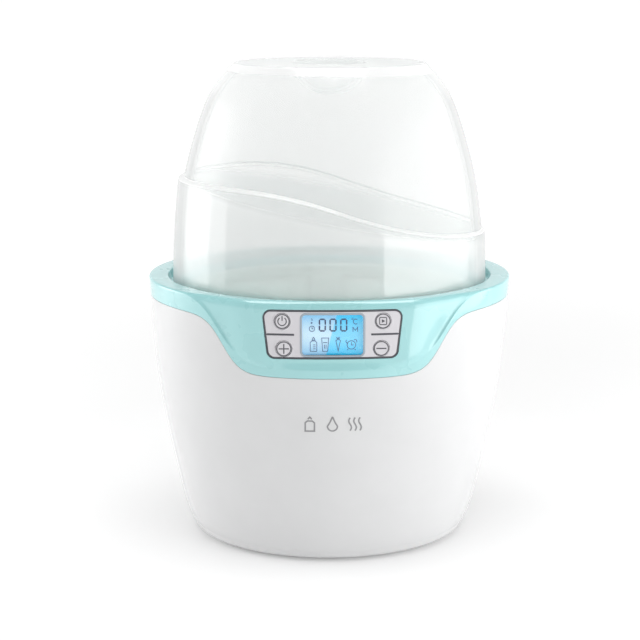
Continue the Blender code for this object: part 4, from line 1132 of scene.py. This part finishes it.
def build_display(panel):
    level = -float(panel_bend(WINDOW_HALF))
    edge = finer(window_outline(), 0.001)
    window = Solid()
    window.stack([flat_at(level)(*path.T, z) for path, z in (
        (edge, WINDOW_DEPTH), (edge, -0.0002), (offset_path(edge, 0.0003, True), 0.0))])
    clear = clear_plastic("window_acrylic", (0.7, 0.72, 0.74),
                          ((0.0, 0.004), (0.6, 0.03), (1.0, 0.2)), 0.04, 0.7, 0.06)
    piece(window.object("window_lens", panel), clear, "base", ["display_window"])

    wide, taller = WINDOW_HALF + 0.0007, 0.0002
    outline = box_outline(-wide, wide, WINDOW_BOTTOM - taller, WINDOW_TOP + taller, 0.0005)
    glass = prism("lcd_panel", outline, level + LCD_BACK, level + LCD_FRONT, panel)
    piece(glass, lcd_material(), "base", ["lcd_glass"])

    on_glass = flat_at(level + LCD_FRONT)
    digits = Relief(on_glass, 0.00002, 0.00014)
    for left in DIGIT_LEFTS:
        segment_digit(digits, left)
    ink = plastic("lcd_segment_ink", (0.015, 0.04, 0.15), 0.5)
    piece(digits.object("lcd_digits", panel), ink, "base")

    icons = Relief(on_glass, 0.00002, 0.00012)
    for icon in ICONS:
        draw_icon(icons, *icon)
    clock_icon(icons, *ALARM)
    alarm_bells(icons, *ALARM)
    clock_icon(icons, *CLOCK)
    icons.fill(circle((-0.0108, 0.0071), 0.00048, 20))
    icons.stroke(arc((-0.0112, 0.0087), 0.0007, -40, 70, 12), ICON_LINE)
    # A degree sign with C, and M for minutes.
    icons.stroke(circle((0.0102, 0.0091), 0.00042, 20), 0.00022, closed=True)
    icons.stroke(arc((0.0120, 0.0077), 0.0013, 55, 305, 24), 0.00036)
    minutes = ((0.0105, 0.0024), (0.0105, 0.0047), (0.0117, 0.0031), (0.0129, 0.0047), (0.0129, 0.0024))
    icons.stroke(minutes, ICON_LINE)
    ink = plastic("lcd_icon_ink", (0.05, 0.14, 0.32), 0.5)
    piece(icons.object("lcd_icons", panel), ink, "base")


# ---------------------------------------------------------------- printed front mark

MARK_LINE, MARK_LOW, MARK_SPACING = 0.0008, 0.0799, 0.0118


def on_front(x, z, height):
    """Points of the housing's front, raised by height."""
    x, z = np.asarray(x, float), np.asarray(z, float)
    return plain_skin(np.arcsin(x / body_a(z)), z, -height)


def build_front_mark():
    """A generic row of pictograms: a bottle, a drop and rising steam."""
    marks = Relief(on_front, -0.00004, 0.00008)
    for closed, outline in (
        (True, ((-0.0024, 0.0), (0.0024, 0.0), (0.0024, 0.0048),
                (0.0012, 0.0058), (-0.0012, 0.0058), (-0.0024, 0.0048))),
        (False, ((-0.0010, 0.0068), (0.0, 0.0080), (0.0010, 0.0068))),
    ):
        marks.stroke([(u - MARK_SPACING, MARK_LOW + v) for u, v in outline], MARK_LINE, closed)
    turn = even_turn(60)
    upper = np.clip(np.sin(turn), 0, 1)
    radius = 0.0026 * (1 - 0.25 * upper ** 2)
    drop = np.stack([radius * np.cos(turn) * (1 - 0.45 * upper),
                     MARK_LOW + 0.0029 + 0.0027 * np.sin(turn) + 0.0024 * upper ** 3], axis=1)
    marks.stroke(drop, MARK_LINE, closed=True)
    t = np.linspace(0, 1, 24)
    for shift in (-0.0026, 0.0, 0.0026):
        x = MARK_SPACING + shift + 0.0007 * np.sin(2 * math.pi * t)
        marks.stroke(np.stack([x, MARK_LOW + 0.0002 + 0.0074 * t], axis=1), MARK_LINE)
    piece(marks.object("front_pictograms"), ink_grey, "base")


# ---------------------------------------------------------------- parts inside

def finish_inside():
    finishes = {
        "heater_plate": metal("cast_aluminium", (0.70, 0.71, 0.72), 0.5, (1, 1, 1), 420.0, 0.00004),
        "heating_element": metal("element_steel", (0.50, 0.49, 0.46), 0.38),
        "thermal_fuse": metal("fuse_tin", TIN, 0.3),
        "temperature_sensor": metal("sensor_copper", (0.72, 0.38, 0.22), 0.3),
        "power_board": circuit_board("power_board_green"),
        "control_board": circuit_board("control_board_green"),
        "ribbon_cable": ribbon_material(),
        "transformer": plastic("transformer_tape", (0.78, 0.58, 0.10), 0.35, grain=400.0),
    }
    for node, name, colour, rough in (
        ("thermostat", "phenolic_brown", (0.20, 0.12, 0.08), 0.45),
        ("relay", "relay_blue", (0.04, 0.10, 0.30), 0.3),
        ("capacitor", "capacitor_sleeve", (0.05, 0.05, 0.09), 0.28),
        ("terminal_block", "terminal_green", (0.08, 0.28, 0.14), 0.4),
        ("live_lead", "lead_brown", (0.30, 0.13, 0.06), 0.45),
        ("neutral_lead", "lead_blue", (0.05, 0.15, 0.42), 0.45),
        ("backlight", "light_guide", (0.82, 0.86, 0.88), 0.35),
    ):
        finishes[node] = plastic(name, colour, rough)
    switch = plastic("switch_black", (0.03, 0.03, 0.035), 0.4)
    finishes.update({f"{name}_switch": switch for name in ("power", "mode", "plus", "minus")})
    for name, mat in finishes.items():
        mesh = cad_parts[name].data
        mesh.materials.clear()
        mesh.materials.append(mat)


# ---------------------------------------------------------------- studio

CAMERA_SPOT = (-0.0185, -0.7588, 0.322)
CAMERA_TILT, CAMERA_PAN = math.radians(90 - 14.81), math.radians(-1.0)
CAMERA_LENS = 78.3
FLOOR_REACH = 60.0
# How strongly the floor glows at each distance.
FLOOR_GLOW = ((0.25, 0.15), (0.40, 0.23), (0.65, 0.41), (1.12, 0.57), (1.75, 0.625), (3.0, 0.64))
WORLD_FRONT, WORLD_BACK, WORLD_HIGH = 0.40, 0.92, 0.33
WORLD_RISE, WORLD_TURN = (0.26, 0.55), (-0.30, 0.45)  # where the world blends upwards, and front to back
# Side lamps: name, degrees round from the front, distance, lower edge, width, height, radiance.
SIDE_LAMPS = (
    ("softbox_right", 66, 0.46, 0.010, 0.66, 0.36, 1.8),
    ("softbox_left", -97, 0.62, 0.02, 0.34, 0.46, 1.6),
    ("softbox_left_wide", -92, 0.64, 0.02, 0.62, 0.46, 1.1),
)


def build_camera():
    data = bpy.data.cameras.new("camera")
    data.lens, data.sensor_width, data.clip_end = CAMERA_LENS, 36.0, 200.0
    camera = bpy.data.objects.new("camera", data)
    camera.location = CAMERA_SPOT
    camera.rotation_euler = (CAMERA_TILT, 0, CAMERA_PAN)
    bpy.context.scene.collection.objects.link(camera)
    bpy.context.scene.camera = camera


def area_light(name, spot, aim, size, radiance):
    """A rectangular lamp of an even radiance, which the camera doesn't see."""
    data = bpy.data.lights.new(name, "AREA")
    data.shape = "RECTANGLE"
    data.size, data.size_y = size
    data.energy = radiance * math.pi * size[0] * size[1]
    light = bpy.data.objects.new(name, data)
    light.location = spot
    light.rotation_euler = (Vector(aim) - Vector(spot)).to_track_quat("-Z", "Y").to_euler()
    light.visible_camera = False
    bpy.context.scene.collection.objects.link(light)


def build_floor():
    """A pale floor, which glows a little more with distance so that it meets the white around it."""
    floor = Solid()
    corners = ((-1, -1), (1, -1), (1, 1), (-1, 1))
    floor.add([(x * FLOOR_REACH, y * FLOOR_REACH, 0) for x, y in corners], [[0, 1, 2, 3]])
    floor = floor.object("studio_floor")
    mat, graph, shader = new_material("studio_white")
    away = graph.add("VectorMath", {0: graph.place()}, operation="LENGTH").outputs["Value"]
    reach = FLOOR_GLOW[-1][0]
    share = graph.math("MULTIPLY", away, 1 / reach)
    glow = graph.curve(share, [(far / reach, glow) for far, glow in FLOOR_GLOW])
    graph.fill(shader, {
        "Base Color": graph.mix(graph.spread(graph.noise(3.0), 0.0, 1.0), (0.86,) * 3, (0.88,) * 3),
        "Roughness": 0.6, "Emission Color": (1, 1, 1), "Emission Strength": glow})
    floor.data.materials.append(mat)


def build_world():
    world = bpy.data.worlds.new("studio_world")
    bpy.context.scene.world = world
    world.use_nodes = True
    graph = Graph(world.node_tree)
    way = graph.axes(graph.place("Generated"))
    behind = graph.spread(way["Y"], 0.0, 1.0, *WORLD_TURN, "SMOOTHSTEP")
    height = graph.spread(way["Z"], 0.0, 1.0, *WORLD_RISE, "SMOOTHSTEP")
    low = graph.mix(behind, (WORLD_FRONT,) * 3, (WORLD_BACK,) * 3)
    colour = graph.mix(height, low, (WORLD_HIGH,) * 3)
    graph.fill(graph.nodes["Background"], {"Color": colour, "Strength": 1.0})


def build_lights():
    for name, turn, away, low, wide, tall, radiance in SIDE_LAMPS:
        side, level = math.radians(turn), low + tall / 2
        spot = (away * math.sin(side), -away * math.cos(side), level)
        area_light(name, spot, (0, 0, level), (wide, tall), radiance)
    area_light("softbox_top", (0.0, -0.10, 1.20), (0.0, 0.0, 0.1), (0.80, 0.80), 3.5)
    scene = bpy.context.scene
    scene.view_settings.view_transform = "Standard"
    scene.view_settings.look = "None"
    scene.cycles.transparent_max_bounces = 32
    scene.cycles.max_bounces = 10


def main():
    panel = Matrix.Translation((0, PANEL_Y, PANEL_Z)) @ Matrix.Rotation(math.pi / 2 - PANEL_LEAN, 4, "X")
    build_camera()
    build_housing()
    build_collar(panel)
    build_base()
    build_gland()
    build_tub()
    build_rack()
    build_dome()
    build_panel(panel)
    build_buttons(panel)
    build_display(panel)
    build_front_mark()
    finish_inside()
    build_floor()
    build_world()
    build_lights()


main()
